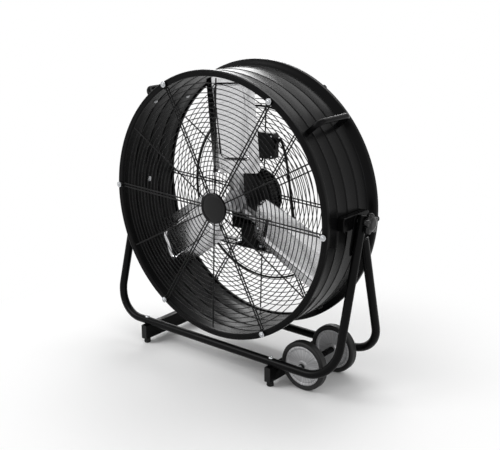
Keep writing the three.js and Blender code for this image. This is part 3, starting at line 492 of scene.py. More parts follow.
guards = (
    ("front", -1, front_face, front_lip, front_rim - clip_washer - seat_gap),
    ("rear", 1, rear_face, rear_lip, rear_rim - clip_washer - seat_gap),
)
zinc = finish("zinc_plate", (0.62, 0.63, 0.65), (0.42, 0.43, 0.44), (0.18, 0.34),
              metallic=1.0, grain=700.0, bump=0.08, drift=120.0)
for label, side, face, lip, eye_radius in guards:
    spoke_plane = face - side * recess
    ring_plane = spoke_plane - side * (spoke_wire / 2 + ring_wire / 2 + 0.1 * mm)
    seed = make_piece(f"{label}_ring_wires", ([(0, 0, 0)], []), wire_paint)
    rings = apply_nodes(seed, ring_nodes, count=ring_count, first_radius=first_ring,
                        pitch=ring_pitch, wire=ring_wire, material=wire_paint,
                        centre=(0, ring_plane, axis_height))
    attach(rings, "drum")
    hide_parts(f"{label}_guard_rings")

    eye_plane = face + side * (seat_gap + spoke_wire / 2)
    edge = lip - seat_gap - spoke_wire / 2
    half = pair_spacing / 2
    inner = plate_radius * 0.7

    def run(t):
        return [(inner, spoke_plane, axis_height + t), (edge, spoke_plane, axis_height + t),
                (edge, eye_plane, axis_height + t), (eye_radius, eye_plane, axis_height + t)]
    out = bent_path(run(half), hairpin_bend, 5)
    back = bent_path(run(-half), hairpin_bend, 5)
    loop = [(eye_radius + half * math.sin(math.radians(a)), eye_plane,
             axis_height + half * math.cos(math.radians(a))) for a in range(20, 180, 20)]
    hairpin = make_piece(f"{label}_hairpin_spokes",
                         swept(out + loop + back[::-1], spoke_wire / 2, 10), wire_paint)
    repeat_round(hairpin, spoke_pairs, pair_turn, spoke_step)
    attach(hairpin, "drum")
    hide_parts(f"{label}_guard_spokes")

    ends = [(inner, spoke_plane, axis_height), (lip - 3 * mm, spoke_plane, axis_height)]
    single = make_piece(f"{label}_single_spokes", swept(ends, spoke_wire / 2, 10), wire_paint)
    repeat_round(single, spoke_pairs, single_turn, spoke_step)
    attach(single, "drum")

    plate_rim = plate_radius / mm
    middle = turned(stepped(spoke_plane, 1, (0, -1.5), (plate_rim - 1, -1.5), (plate_rim, 0),
                            (plate_rim - 1, 1.5), (0, 1.5)), 96)
    plate = make_piece(f"{label}_middle_plate", middle, wire_paint)
    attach(plate, "drum")

    # Pan head screw with a recess in its head, its spring washer and its flat washer.
    seat = face + side * (2 * seat_gap + spoke_wire)
    washer_rim = clip_washer / mm
    washer = stepped(seat, side, (2.5, 0), (washer_rim, 0), (washer_rim, 1.3), (2.5, 1.3))
    spring = stepped(seat, side, (2.5, 1.3), (5.6, 1.3), (5.6, 2.3), (2.5, 2.3))
    head = stepped(seat, side, (0, -4), (2.4, -4), (2.4, 2.3), (4.9, 2.3), (5.0, 2.9), (4.4, 4.0),
                   (3.0, 4.8), (1.4, 4.9), (1.0, 3.7), (0, 3.5))
    at = (eye_radius, 0, axis_height)
    screw = make_piece(f"{label}_clip_screws", joined(
        turned(washer, 28, at), turned(spring, 24, at), turned(head, 24, at)), zinc)
    repeat_round(screw, spoke_pairs, pair_turn, spoke_step)
    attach(screw, "drum")
    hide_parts(*(f"{label}_clip_{i}" for i in range(1, 7)))

thick = make_piece("rear_support_ring", turned(
    arc((support_ring, rear_face - recess - spoke_wire / 2 - support_wire / 2),
        support_wire / 2, 0, 330, 11), 144), wire_paint)
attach(thick, "drum")

# ---------------------------------------------------------------- badge
# Moulded black cap on the middle of the front guard, a little domed inside a rim.
# It is plain.

badge_low, badge_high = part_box("hub_badge")
badge_radius = half_of(badge_low, badge_high)[0]
badge_back = badge_high[1]
badge_face = badge_low[1]
badge_plastic = finish("badge_plastic", (0.003, 0.003, 0.0032), (0.005, 0.005, 0.0052),
                       (0.2, 0.3), specular=0.2, grain=1300.0, bump=0.02)
cap = [(0, badge_back), (badge_radius - 1 * mm, badge_back), (badge_radius, badge_back - 1 * mm)]
cap += arc((badge_radius - 2.5 * mm, badge_face + 2.5 * mm), 2.5 * mm, 0, -150, 7)
cap += [(badge_radius - 5.6 * mm, badge_face + 2.4 * mm),
        (badge_radius - 8 * mm, badge_face + 2.2 * mm)]
cap += [((badge_radius - 8 * mm) * math.cos(a), badge_face + 2.2 * mm - 2.0 * mm * math.sin(a))
        for a in (0.15, 0.4, 0.7, 1.0, 1.3)]
cap.append((0, badge_face + 0.2 * mm))
badge = make_piece("guard_badge", turned(cap, 96), badge_plastic)
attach(badge, "drum")
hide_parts("hub_badge")

# ---------------------------------------------------------------- blades and spider
# Three pressed sheet blades, each with a sunk panel inside a raised bead and a
# folded trailing edge. They are riveted to the arms of a steel spider on the shaft.

rotor_plane = -23 * mm
blade_angles = (94, 214, 334)
blade_step = 360 / len(blade_angles)
root_radius = 86 * mm
tip_radius = 374 * mm
root_corner = 14 * mm
tip_corner = 18 * mm
blade_sheet = 1.8 * mm
trailing_reach = -88 * mm
trailing_taper = 16 * mm
leading_reach = 83 * mm
panel_root = 130 * mm
panel_tip = 348 * mm
panel_leading = 47 * mm
panel_taper = 12 * mm
panel_corner = 16 * mm
panel_sink = 4 * mm
bead_ridge = 2.6 * mm
bead_place = 1.6 * mm
bead_spread = 2.1 * mm
panel_slope = 4.5 * mm
fold_width = 31 * mm
fold_depth = 22 * mm
fold_round = 2 * mm
fold_to_panel = 5 * mm
fold_fade = 12 * mm
root_pitch = 20
tip_pitch = 10
row_crowding = 0.12


def multiply_colour(material, mask, strength):
    """Multiplies a material's base colour by a mask."""
    shader = material.node_tree.nodes["Principled BSDF"]
    plain = shader.inputs["Base Color"].links[0].from_socket
    blend = add(material.node_tree, "ShaderNodeMix", {"Factor": strength, "A": plain, "B": mask},
                data_type="RGBA", blend_type="MULTIPLY")
    feed(shader, {"Base Color": blend["Result"]})


def sheet_metal(name, colour, streak_colour, rough, streak_scale):
    """Bare rolled sheet: metallic, with fine streaks along the rolling direction."""
    material = finish(name, colour, streak_colour, rough, metallic=1.0, grain=500.0, bump=0.008,
                      drift=14.0)
    tree = material.node_tree
    place = add(tree, "ShaderNodeTexCoord")["Object"]
    stretched = add(tree, "ShaderNodeMapping", {"Vector": place, "Scale": streak_scale})["Vector"]
    streaks = add(tree, "ShaderNodeTexNoise", {"Vector": stretched, "Scale": 60.0, "Detail": 4.0})
    multiply_colour(material, streaks["Fac"], 0.16)
    return material


blade_metal = sheet_metal("blade_sheet", (0.86, 0.86, 0.87), (0.70, 0.70, 0.71), (0.16, 0.22),
                          (1, 1, 12))


def ramp(low, high, value):
    """0 below low, 1 above high, smooth between."""
    t = min(max((value - low) / (high - low), 0), 1)
    return t * t * (3 - 2 * t)


def blade_point(r, c, lift, angle):
    """A point at radius r and chord place c, raised from the blade's middle surface."""
    t = (r - root_radius) / (tip_radius - root_radius)
    pitch = math.radians(root_pitch + (tip_pitch - root_pitch) * t)
    y = rotor_plane + c * math.sin(pitch) + lift * math.cos(pitch)
    across = -c * math.cos(pitch) + lift * math.sin(pitch)
    a = math.radians(angle)
    return (r * math.cos(a) - across * math.sin(a), y,
            axis_height + r * math.sin(a) + across * math.cos(a))


def to_root(r):
    """0 at the tip and 1 at the root."""
    return (tip_radius - r) / (tip_radius - root_radius)


def blade_lift(r, c):
    """Height of the pressed form over the plain surface, positive towards the motor."""
    trailing = trailing_reach + trailing_taper * to_root(r)
    start = trailing + fold_width + fold_to_panel
    stop = panel_leading + panel_taper * to_root(r)
    across = max(abs(c - (start + stop) / 2) - (stop - start) / 2 + panel_corner, 0)
    along = max(abs(r - (panel_root + panel_tip) / 2) - (panel_tip - panel_root) / 2
                + panel_corner, 0)
    inside = panel_corner - math.hypot(across, along)
    sunk = panel_sink * ramp(0, panel_slope, inside)
    ridge = bead_ridge * math.exp(-((inside + bead_place) / bead_spread) ** 2)
    below = trailing + fold_width - c
    bent = below if below > fold_round else max(below + fold_round, 0) ** 2 / (4 * fold_round)
    fold = fold_depth * bent / fold_width * ramp(root_radius, root_radius + fold_fade, r)
    return sunk - ridge + fold


def blade_sides(r):
    """Trailing and leading ends of the chord at radius r, with rounded corners."""
    near_tip = max(tip_corner - (tip_radius - r), 0)
    near_root = max(root_corner - (r - root_radius), 0)
    cut = tip_corner - math.sqrt(tip_corner ** 2 - near_tip ** 2)
    cut += root_corner - math.sqrt(root_corner ** 2 - near_root ** 2)
    return trailing_reach + trailing_taper * to_root(r) + cut, leading_reach - cut


def sheet_form(rows, columns, point, thickness):
    """A closed sheet over a grid: point(i, j, lift) gives each place."""
    vertices = [point(i, j, level) for level in (0, thickness)
                for i in range(rows) for j in range(columns)]
    layer = rows * columns
    faces = []
    for i in range(rows - 1):
        for j in range(columns - 1):
            a = i * columns + j
            quad = (a, a + 1, a + columns + 1, a + columns)
            faces.append(quad)
            faces.append(tuple(layer + q for q in reversed(quad)))
    border = list(range(columns))
    border += [i * columns + columns - 1 for i in range(1, rows)]
    border += [(rows - 1) * columns + j for j in range(columns - 2, -1, -1)]
    border += [i * columns for i in range(rows - 2, 0, -1)]
    for a, b in zip(border, border[1:] + border[:1]):
        faces.append((a, b, layer + b, layer + a))
    return vertices, faces


blade_rows = 120
blade_columns = 92
for number, angle in enumerate(blade_angles, 1):
    def place_on_blade(i, j, lift):
        t = i / (blade_rows - 1)
        t -= row_crowding * math.sin(2 * math.pi * t)
        r = root_radius + (tip_radius - root_radius) * t
        low, high = blade_sides(r)
        c = low + (high - low) * j / (blade_columns - 1)
        r = min(r, math.sqrt(tip_radius ** 2 - c ** 2))
        return blade_point(r, c, blade_lift(r, c) + lift, angle)
    blade = make_piece(f"pressed_blade_{number}",
                       sheet_form(blade_rows, blade_columns, place_on_blade, blade_sheet),
                       blade_metal, 50)
    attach(blade, "rotor")
    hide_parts(f"blade_{number}")

arm_inner = 30 * mm
arm_outer = 126 * mm
arm_middle = 6 * mm
arm_half_width = 22 * mm
arm_flare = 12 * mm
arm_taper = 6 * mm
arm_rib = 3 * mm
arm_rib_width = 7 * mm
arm_sheet = 3 * mm
arm_rows = 24
arm_columns = 18
spider_steel = sheet_metal("spider_steel", (0.62, 0.62, 0.63), (0.48, 0.48, 0.49), (0.28, 0.4),
                           (1, 1, 6))


def place_on_arm(i, j, lift):
    t = i / (arm_rows - 1)
    r = arm_inner + (arm_outer - arm_inner) * t
    half = arm_half_width + arm_flare * ramp(0.5, 0.85, t) - arm_taper * ramp(0.9, 1.0, t)
    across = half * (2 * j / (arm_columns - 1) - 1)
    rib = arm_rib * math.exp(-(across / arm_rib_width) ** 2) * ramp(0.0, 0.15, t)
    rib *= 1 - ramp(0.7, 0.85, t)
    return blade_point(r, arm_middle + across, blade_sheet + seat_gap + lift + rib, 0)


arms = make_piece("spider_arms", sheet_form(arm_rows, arm_columns, place_on_arm, arm_sheet),
                  spider_steel, 50)
repeat_round(arms, len(blade_angles), blade_angles[0], blade_step)
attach(arms, "rotor")
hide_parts("rotor_spider")

hub_radius = 34 * mm
hub_front = rotor_plane - 23 * mm
hub_rear = rotor_plane + 23 * mm
shaft_radius = 8 * mm
hub_outline = [(shaft_radius, hub_front), (20 * mm, hub_front)]
hub_outline += arc((22 * mm, hub_front + 2 * mm), 2 * mm, 270, 360, 3)
hub_outline += [(24 * mm, rotor_plane - 9 * mm), (hub_radius - 2 * mm, rotor_plane - 9 * mm),
                (hub_radius, rotor_plane - 7 * mm), (hub_radius, rotor_plane + 9 * mm),
                (24 * mm, rotor_plane + 11 * mm), (24 * mm, hub_rear), (shaft_radius, hub_rear)]
hub_casting = finish("hub_casting", (0.52, 0.52, 0.53), (0.36, 0.36, 0.37), (0.4, 0.55),
                     metallic=1.0, grain=600.0, bump=0.2)
hub = make_piece("spider_hub", turned(hub_outline, 64), hub_casting)
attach(hub, "rotor")

shaft_low, shaft_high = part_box("motor_shaft")
shaft = make_piece("shaft_bar", turned(
    [(0, shaft_low[1]), (shaft_radius - 1 * mm, shaft_low[1]),
     (shaft_radius, shaft_low[1] + 1 * mm), (shaft_radius, shaft_high[1]),
     (0, shaft_high[1])], 32), zinc)
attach(shaft, "rotor")
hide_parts("motor_shaft")


def domed(radius, rim, rise, angles, side=1):
    """Outline in millimetres of a head with a straight rim under a low dome."""
    places = [(0, -1), (radius, -1), (radius, rim)]
    places += [(radius * math.cos(a), rim + rise * math.sin(a)) for a in angles]
    return stepped(0, side, *places, (0, rim + rise))


# Two domed rivets hold the root of each blade to its arm.
head_angles = (0.3, 0.7, 1.1)
for label, row_radius, spread in (("trailing", 103 * mm, -20 * mm),
                                  ("leading", 100 * mm, 33 * mm)):
    seat = blade_point(row_radius, spread, 0.1 * mm, 0)
    head = turned(domed(4.6, 0, 2.4, head_angles, -1), 20, seat)
    rivet = make_piece(f"rivets_{label}", head, zinc)
    repeat_round(rivet, len(blade_angles), blade_angles[0], blade_step)
    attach(rivet, "rotor")

# ---------------------------------------------------------------- motor
# Black painted motor with cooling ribs along its housing, a front bell round the
# shaft and a slotted cowl at the back. It sits in a saddle on two flat rails.

motor_low, motor_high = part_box("motor_body")
motor_radius = half_of(motor_low, motor_high)[0]
rib_depth = 9 * mm
rib_count = 40
rib_width = 3.2 * mm
casting_black = finish("motor_paint", (0.003, 0.003, 0.0032), (0.007, 0.007, 0.0075),
                       (0.38, 0.5), specular=0.18, grain=420.0, bump=0.12, drift=18.0)
root = motor_radius - rib_depth
bell = stepped(motor_low[1], 1, (0, 0), (30, 0), (32, 2), (34, 3))
bell += arc((root - 14 * mm, motor_low[1] + 17 * mm), 14 * mm, -80, 0, 8)
bell += [(root, motor_high[1] - 2 * mm), (root - 2 * mm, motor_high[1]), (0, motor_high[1])]
housing = make_piece("motor_housing", turned(bell, 96), casting_black)
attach(housing, "drum")
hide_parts("motor_body")

rib_front = motor_low[1] + 10 * mm
rib_outline = [(rib_front + 6 * mm, root - 1 * mm), (rib_front, root - 1 * mm)]
rib_outline += [(rib_front + 5 * mm * (1 - math.cos(a)), root + (rib_depth - 0.4 * mm)
                 * math.sin(a)) for a in (0.5, 1.0, 1.57)]
rib_outline += [(motor_high[1] - 1 * mm, motor_radius - 0.4 * mm),
                (motor_high[1] - 1 * mm, root - 1 * mm)]
rib_points = [(r, y, axis_height + s * rib_width / 2 * (0.6 if r > root + 5 * mm else 1.0))
              for s in (-1, 1) for y, r in rib_outline]
ribs = make_piece("motor_ribs", (rib_points, ring_faces(2, len(rib_outline))), casting_black)
repeat_round(ribs, rib_count, 0, 360 / rib_count)
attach(ribs, "drum")

cover_low, cover_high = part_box("motor_end_cover")
cover_radius = half_of(cover_low, cover_high)[0]
cowl_outline = [(0, cover_low[1]), (cover_radius, cover_low[1]),
                (cover_radius, cover_low[1] + 3 * mm)]
cowl_outline += arc((cover_radius - 6 * mm, cover_low[1] + 3 * mm), 5.6 * mm, 0, 90, 6)
for radius in (66, 58, 50, 42, 34, 26):
    cowl_outline += stepped(cover_high[1], 1, (radius + 2, 0), (radius + 2, -3), (radius - 2, -3),
                            (radius - 2, 0))
cowl_outline.append((0, cover_high[1]))
cowl = make_piece("motor_cowl", turned(cowl_outline, 96), casting_black)
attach(cowl, "drum")
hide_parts("motor_end_cover")


def prism(outline, low, high, axis):
    """An outline drawn in the other two axes, carried along X or Y from low to high."""
    if axis == "X":
        vertices = [(x, u, v) for x in (low, high) for u, v in outline]
    else:
        vertices = [(u, y, v) for y in (low, high) for u, v in outline]
    return vertices, ring_faces(2, len(outline))


def soften(piece, width, segments=2):
    """Rounds the hard edges of a piece."""
    bevel = piece.modifiers.new("softened_edges", "BEVEL")
    bevel.width = width
    bevel.segments = segments
    bevel.limit_method = "ANGLE"
    bevel.angle_limit = math.radians(35)


pedestal_low, pedestal_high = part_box("motor_pedestal")
saddle_half = 66 * mm
web_half = 30 * mm
foot_half = 55 * mm
saddle_under = axis_height - 104 * mm
foot_top = pedestal_low[2] + 5 * mm
contact = motor_radius + seat_gap
lift = math.sqrt(contact ** 2 - saddle_half ** 2)
start = math.degrees(math.atan2(-lift, saddle_half))
end = math.degrees(math.atan2(-lift, -saddle_half))
saddle_outline = [(foot_half, pedestal_low[2]), (foot_half, foot_top), (web_half, foot_top),
                  (web_half, saddle_under), (saddle_half, saddle_under)]
saddle_outline += arc((0, axis_height), contact, start, end, 20)
saddle_outline += [(-saddle_half, saddle_under), (-web_half, saddle_under),
                   (-web_half, foot_top), (-foot_half, foot_top), (-foot_half, pedestal_low[2])]
saddle = make_piece("motor_saddle", prism(saddle_outline, pedestal_low[1], pedestal_high[1], "Y"),
                    black_paint)
soften(saddle, 1.2 * mm)
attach(saddle, "drum")
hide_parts("motor_pedestal")

for label in ("front", "rear"):
    low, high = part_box(f"motor_rail_{label}")
    rail_top = low[2] + 5 * mm
    wall = barrel - sheet - 0.6 * mm
    first = math.degrees(math.asin((low[2] - axis_height) / wall))
    tab = arc((0, axis_height), wall, first, first + 5, 6)
    tab += arc((0, axis_height), wall - 4 * mm, first + 5,
               math.degrees(math.asin((rail_top - axis_height) / (wall - 4 * mm))), 4)
    outline = tab + [(-x, z) for x, z in reversed(tab)]
    rail = make_piece(f"motor_rail_bar_{label}", prism(outline, low[1], high[1], "Y"), black_paint)
    soften(rail, 0.8 * mm)
    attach(rail, "drum")
    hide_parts(f"motor_rail_{label}")

# Hexagon bolts that hold the pedestal to the rails.
bolt_spots = [(x * mm, y * mm, foot_top) for x in (-43, 43) for y in (47, 81)]
bolt_height = 5 * mm
hexagon = arc((0, 0), 7.5 * mm, 0, 300, 5)
bolt_shapes = [([(x + u, y + v, z + h) for h in (0, bolt_height) for u, v in hexagon],
                ring_faces(2, len(hexagon))) for x, y, z in bolt_spots]
bolts = make_piece("pedestal_bolts", joined(*bolt_shapes), zinc)
soften(bolts, 0.5 * mm)
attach(bolts, "drum")

# ---------------------------------------------------------------- switch box and leads
# Moulded two part box inside the rear guard, with a turn knob outside the wires.
# Round rubber sheathed leads run from it to the motor and to the drum wall.

box_low, box_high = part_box("switch_box_lid")
shell_box_low, shell_box_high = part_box("switch_box")
box_plastic = finish("box_plastic", (0.004, 0.004, 0.0042), (0.008, 0.008, 0.0085),
                     (0.36, 0.48), specular=0.2, grain=1400.0, bump=0.08)


def rounded(low, high, corner, steps=5):
    """Outline of a rectangle with round corners."""
    u0, v0 = low[0] + corner, low[1] + corner
    u1, v1 = high[0] - corner, high[1] - corner
    points = []
    for quarter, middle in enumerate(((u1, v1), (u0, v1), (u0, v0), (u1, v0))):
        points += arc(middle, corner, 90 * quarter, 90 * quarter + 90, steps)
    return points


box_outline = rounded((box_low[0], box_low[2]), (box_high[0], box_high[2]), 8 * mm)
box_shape = prism(box_outline, shell_box_low[1], shell_box_high[1], "Y")
box_back = make_piece("switch_box_shell", box_shape, box_plastic)
soften(box_back, 1.5 * mm, 3)
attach(box_back, "drum")
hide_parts("switch_box")
lid = make_piece("switch_box_cover", prism(box_outline, box_low[1], box_high[1], "Y"), box_plastic)
soften(lid, 1 * mm, 3)
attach(lid, "drum")
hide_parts("switch_box_lid")

lid_screw = stepped(box_low[1], -1, (0, -0.5), (3.4, -0.5), (3.4, 0.8), (2.2, 1.7), (0, 1.9))
screw_inset = 8 * mm
lid_screws = [turned(lid_screw, 16, (x, 0, z))
              for x in (box_low[0] + screw_inset, box_high[0] - screw_inset)
              for z in (box_low[2] + screw_inset, box_high[2] - screw_inset)]
screws = make_piece("lid_screws", joined(*lid_screws), zinc)
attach(screws, "drum")

box_middle = middle_of(box_low, box_high)
boss_middle = (shell_box_high[1] - 11 * mm, box_middle[2] + 18 * mm)
boss_outline = stepped(box_high[0], 1, (4.2, -1), (9, -1), (9, 3), (7.6, 3.6), (7.6, 8), (6.6, 9),
                       (4.2, 9))
boss = make_piece("box_lead_nut", turned(boss_outline, 32, (0, *boss_middle), "X"), box_plastic)
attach(boss, "drum")

# A blank plug closes the second lead entry. Its middle is sunk inside a round rim.
plug_outline = stepped(box_high[0], 1, (0, -1), (10, -1), (10, 2.2), (9.2, 3), (7.6, 3), (6.8, 1),
                       (0, 1))
plug_middle = (0, box_high[1] + 12.8 * mm, box_middle[2])
side_plug = make_piece("box_side_plug", turned(plug_outline, 40, plug_middle, "X"), box_plastic)
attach(side_plug, "drum")

knob_low, knob_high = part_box("speed_knob")
knob_x, _, knob_z = middle_of(knob_low, knob_high)
knob_radius = half_of(knob_low, knob_high)[0]
knob_seat = knob_high[1] - 17 * mm
knob_outline = [(0, knob_low[1]), (2.5 * mm, knob_low[1]), (2.5 * mm, knob_seat),
                (knob_radius, knob_seat), (knob_radius, knob_seat + 2.5 * mm)]
knob_outline += arc((knob_radius - 2 * mm, knob_seat + 2.5 * mm), 2 * mm, 0, 90, 4)
knob_outline += [(knob_radius - 4 * mm, knob_seat + 5.5 * mm),
                 (knob_radius - 5 * mm, knob_high[1] - 3 * mm)]
knob_outline += arc((knob_radius - 7 * mm, knob_high[1] - 3 * mm), 2 * mm, 0, 90, 4)
knob_outline.append((0, knob_high[1] - 1 * mm))
switch_knob = make_piece("switch_knob", turned(knob_outline, 48, (knob_x, 0, knob_z)), box_plastic)
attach(switch_knob, "speed_knob")
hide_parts("speed_knob")
marker_paint = finish("marker_paint", (0.75, 0.75, 0.74), (0.62, 0.62, 0.6), (0.4, 0.5))
marker_half = 0.9 * mm
marker_tip = knob_z + knob_radius - 7 * mm
marker_outline = [(knob_x - marker_half, knob_z), (knob_x + marker_half, knob_z),
                  (knob_x + marker_half, marker_tip), (knob_x - marker_half, marker_tip)]
marker_shape = prism(marker_outline, knob_high[1] - 2 * mm, knob_high[1] - 0.4 * mm, "Y")
marker = make_piece("knob_marker", marker_shape, marker_paint)
soften(marker, 0.3 * mm)
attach(marker, "speed_knob")

lead_rubber = finish("lead_rubber", (0.004, 0.004, 0.004), (0.008, 0.008, 0.008), (0.5, 0.62),
                     specular=0.2, grain=1600.0, bump=0.06)


def smooth_path(points):
    """A smooth curve through points, by Catmull and Rom's rule."""
    steps = 10
    points = [Vector(p) for p in points]
    ends = [points[0] * 2 - points[1]] + points + [points[-1] * 2 - points[-2]]
    path = []
    for a, b, c, d in zip(ends, ends[1:], ends[2:], ends[3:]):
        for i in range(steps):
            t = i / steps
            path.append(0.5 * ((2 * b) + (c - a) * t + (2 * a - 5 * b + 4 * c - d) * t * t
                               + (3 * b - a - 3 * c + d) * t ** 3))
    path.append(points[-1])
    return path


gland_angle = math.radians(-50)
gland_place = 63 * mm
wall_inside = barrel - sheet - 3 * mm
supply_radius = 4 * mm
motor_lead_radius = 3 * mm
lead_plane = 95.6 * mm


def round_axis(reach, angle, y):
    """A point at a reach and an angle round the drum's axis."""
    return (reach * math.cos(angle), y, axis_height + reach * math.sin(angle))


box_side = box_high[0] + 9.3 * mm
supply_path = smooth_path([
    (box_side, *boss_middle), (box_side + 9 * mm, *boss_middle),
    *((box_side + right * mm, lead_plane, axis_height + up * mm)
      for right, up in ((26, 125), (38, 60), (51, -20), (66, -100), (98, -200))),
    round_axis(wall_inside - 60 * mm, gland_angle + math.radians(2),
               (lead_plane + gland_place) / 2),
    round_axis(wall_inside - 22 * mm, gland_angle, gland_place),
    round_axis(wall_inside - 1 * mm, gland_angle, gland_place),
])
supply = make_piece("supply_lead_sheath", swept(supply_path, supply_radius, 14), lead_rubber)
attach(supply, "drum")
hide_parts("supply_lead")

lead_x = box_middle[0] - 14 * mm
motor_lead = make_piece("motor_lead_sheath", swept(smooth_path([
    (lead_x, box_low[1] + 16 * mm, box_low[2] + 1 * mm),
    (lead_x - 1 * mm, box_low[1] + 15 * mm, box_low[2] - 12 * mm),
    (lead_x - 10 * mm, box_low[1] + 4 * mm, axis_height + motor_radius + 22 * mm),
    (lead_x - 16 * mm, box_low[1], axis_height + motor_radius + 9 * mm),
    (lead_x - 16 * mm, box_low[1], axis_height + motor_radius - 2 * mm),
]), motor_lead_radius, 12), lead_rubber)
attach(motor_lead, "drum")
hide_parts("motor_lead")


def placed(shape, turn, base):
    """A shape, turned by a matrix and then moved to base."""
    vertices, faces = shape
    return [tuple(turn @ Vector(v) + base) for v in vertices], faces


gland_outline = stepped(0, 1, (4.1, 0), (9, 0), (10, 1), (12, 1.6), (12, 4.6), (8, 4.6), (8, 11),
                        (4.1, 11))
gland = make_piece("drum_lead_gland", placed(
    turned(gland_outline, 24, (0, 0, 0), "X"), Matrix.Rotation(-gland_angle, 4, "Y"),
    Vector(round_axis(wall_inside, gland_angle, gland_place))), box_plastic)
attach(gland, "drum")
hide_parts("lead_gland")

# ---------------------------------------------------------------- lifting handles
# Bent steel tube, black powder coated. Each leg is held by a bolt from inside the
# drum, whose round head shows on the wall.

handle_legs = (-75.5 * mm, 67 * mm)
handle_reach = barrel + 48 * mm
handle_tube = 8 * mm
handle_bend = 20 * mm
for label, angle in (("right", 40), ("left", 134)):
    a = math.radians(angle)
    foot = barrel - 1 * mm
    front_leg, rear_leg = handle_legs
    path = bent_path([round_axis(foot, a, front_leg), round_axis(handle_reach, a, front_leg),
                      round_axis(handle_reach, a, rear_leg), round_axis(foot, a, rear_leg)],
                     handle_bend, 10)
    grip = make_piece(f"lifting_handle_{label}", swept(path, handle_tube, 20), black_paint)
    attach(grip, "drum")
    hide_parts(f"handle_{label}")
    head = turned(domed(7, 0.5, 3.5, head_angles, -1), 20, (0, 0, 0), "X")
    heads = [placed(head, Matrix.Rotation(-a, 4, "Y"),
                    Vector(round_axis(barrel - sheet - 0.5 * mm, a, y))) for y in handle_legs]
    inner_heads = make_piece(f"handle_bolt_heads_{label}", joined(*heads), zinc)
    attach(inner_heads, "drum")

# ---------------------------------------------------------------- tilt pivots
# A pressed channel on each side of the drum takes the pivot bolt. The bolt passes
# the side plate and the riser, and a star knob outside clamps the drum's angle.

knob_plastic = finish("knob_plastic", (0.0025, 0.0025, 0.0027), (0.004, 0.004, 0.0042),
                      (0.1, 0.15), specular=0.3, grain=1200.0, bump=0.005)
pivot_height = middle_of(*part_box("tilt_bolt_right"))[2]
lobe_count = 5
lobe_radius = 31 * mm
lobe_depth = 0.16
star_sides = 100
# Each ring: depth in millimetres, share of the lobe radius, and 1 where it is plain round.
star_rings = ((0.0, 0.45, 0), (0.0, 0.46, 1), (5.0, 0.50, 1), (5.2, 0.90, 0), (7.0, 0.985, 0),
              (11.0, 1.0, 0), (17.0, 1.0, 0), (20.0, 0.97, 0), (21.8, 0.88, 0), (22.2, 0.60, 1),
              (23.6, 0.56, 1), (25.3, 0.40, 1), (25.5, 0.30, 1))


def inner_outer(low, high, axis, side):
    """A box's two ends along an axis, the one nearer the fan's middle first."""
    ends = (low[axis], high[axis])
    return ends if side > 0 else ends[::-1]


for label, side in (("right", 1), ("left", -1)):
    low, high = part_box(f"tilt_bracket_{label}")
    face_x = inner_outer(low, high, 0, side)[1]
    plate_outline = rounded((low[1], low[2]), (high[1], high[2]), 8 * mm)
    channel = make_piece(f"pivot_channel_{label}", prism(
        plate_outline, side * (barrel + 0.4 * mm), face_x, "X"), black_paint)
    soften(channel, 2.5 * mm, 4)
    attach(channel, "drum")
    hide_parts(f"tilt_bracket_{label}")

    low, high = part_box(f"tilt_bolt_{label}")
    head_end, thread_end = inner_outer(low, high, 0, side)
    bolt_outline = stepped(head_end, side, (0, 0), (3.5, 0), (7, 1.2), (9, 4), (9, 6), (5, 6))
    bolt_outline += [(5 * mm, thread_end), (0, thread_end)]
    bolt = make_piece(f"pivot_bolt_{label}", turned(bolt_outline, 32, (0, 0, pivot_height), "X"),
                      zinc)
    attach(bolt, "drum")
    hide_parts(f"tilt_bolt_{label}")

    low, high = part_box(f"side_plate_{label}")
    top = 20 * mm
    shoulder = 22 * mm
    drop = low[2]
    half = half_of(low, high)[1]
    lower = [(-half, drop + 2 * mm), (-half + 2 * mm, drop), (half - 2 * mm, drop),
             (half, drop + 2 * mm), (half, drop + shoulder)]
    outline = lower + arc((0, pivot_height), top, -14, 194, 16) + [(-half, drop + shoulder)]
    cheek = make_piece(f"riser_plate_{label}", prism(outline, low[0], high[0], "X"), black_paint)
    soften(cheek, 0.6 * mm)
    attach(cheek, "stand")
    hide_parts(f"side_plate_{label}")

    low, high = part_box(f"tilt_knob_{label}")
    near = inner_outer(low, high, 0, side)[0]
    vertices = []
    for depth, share, plain in star_rings:
        for i in range(star_sides):
            a = 2 * math.pi * i / star_sides
            lobe = 1.0 if plain else 1 - lobe_depth + lobe_depth * math.cos(lobe_count * a)
            r = lobe_radius * share * lobe
            vertices.append((near + side * depth * mm, r * math.sin(a),
                             pivot_height + r * math.cos(a)))
    star = make_piece(f"star_knob_{label}", (vertices, ring_faces(len(star_rings), star_sides)),
                      knob_plastic, 32)
    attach(star, f"tilt_knob_{label}")
    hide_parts(f"tilt_knob_{label}")

# ---------------------------------------------------------------- stand tubes
# Two bent steel tubes lean together at the pivots. They are black powder coated,
# and their open ends are plugged with plastic caps.

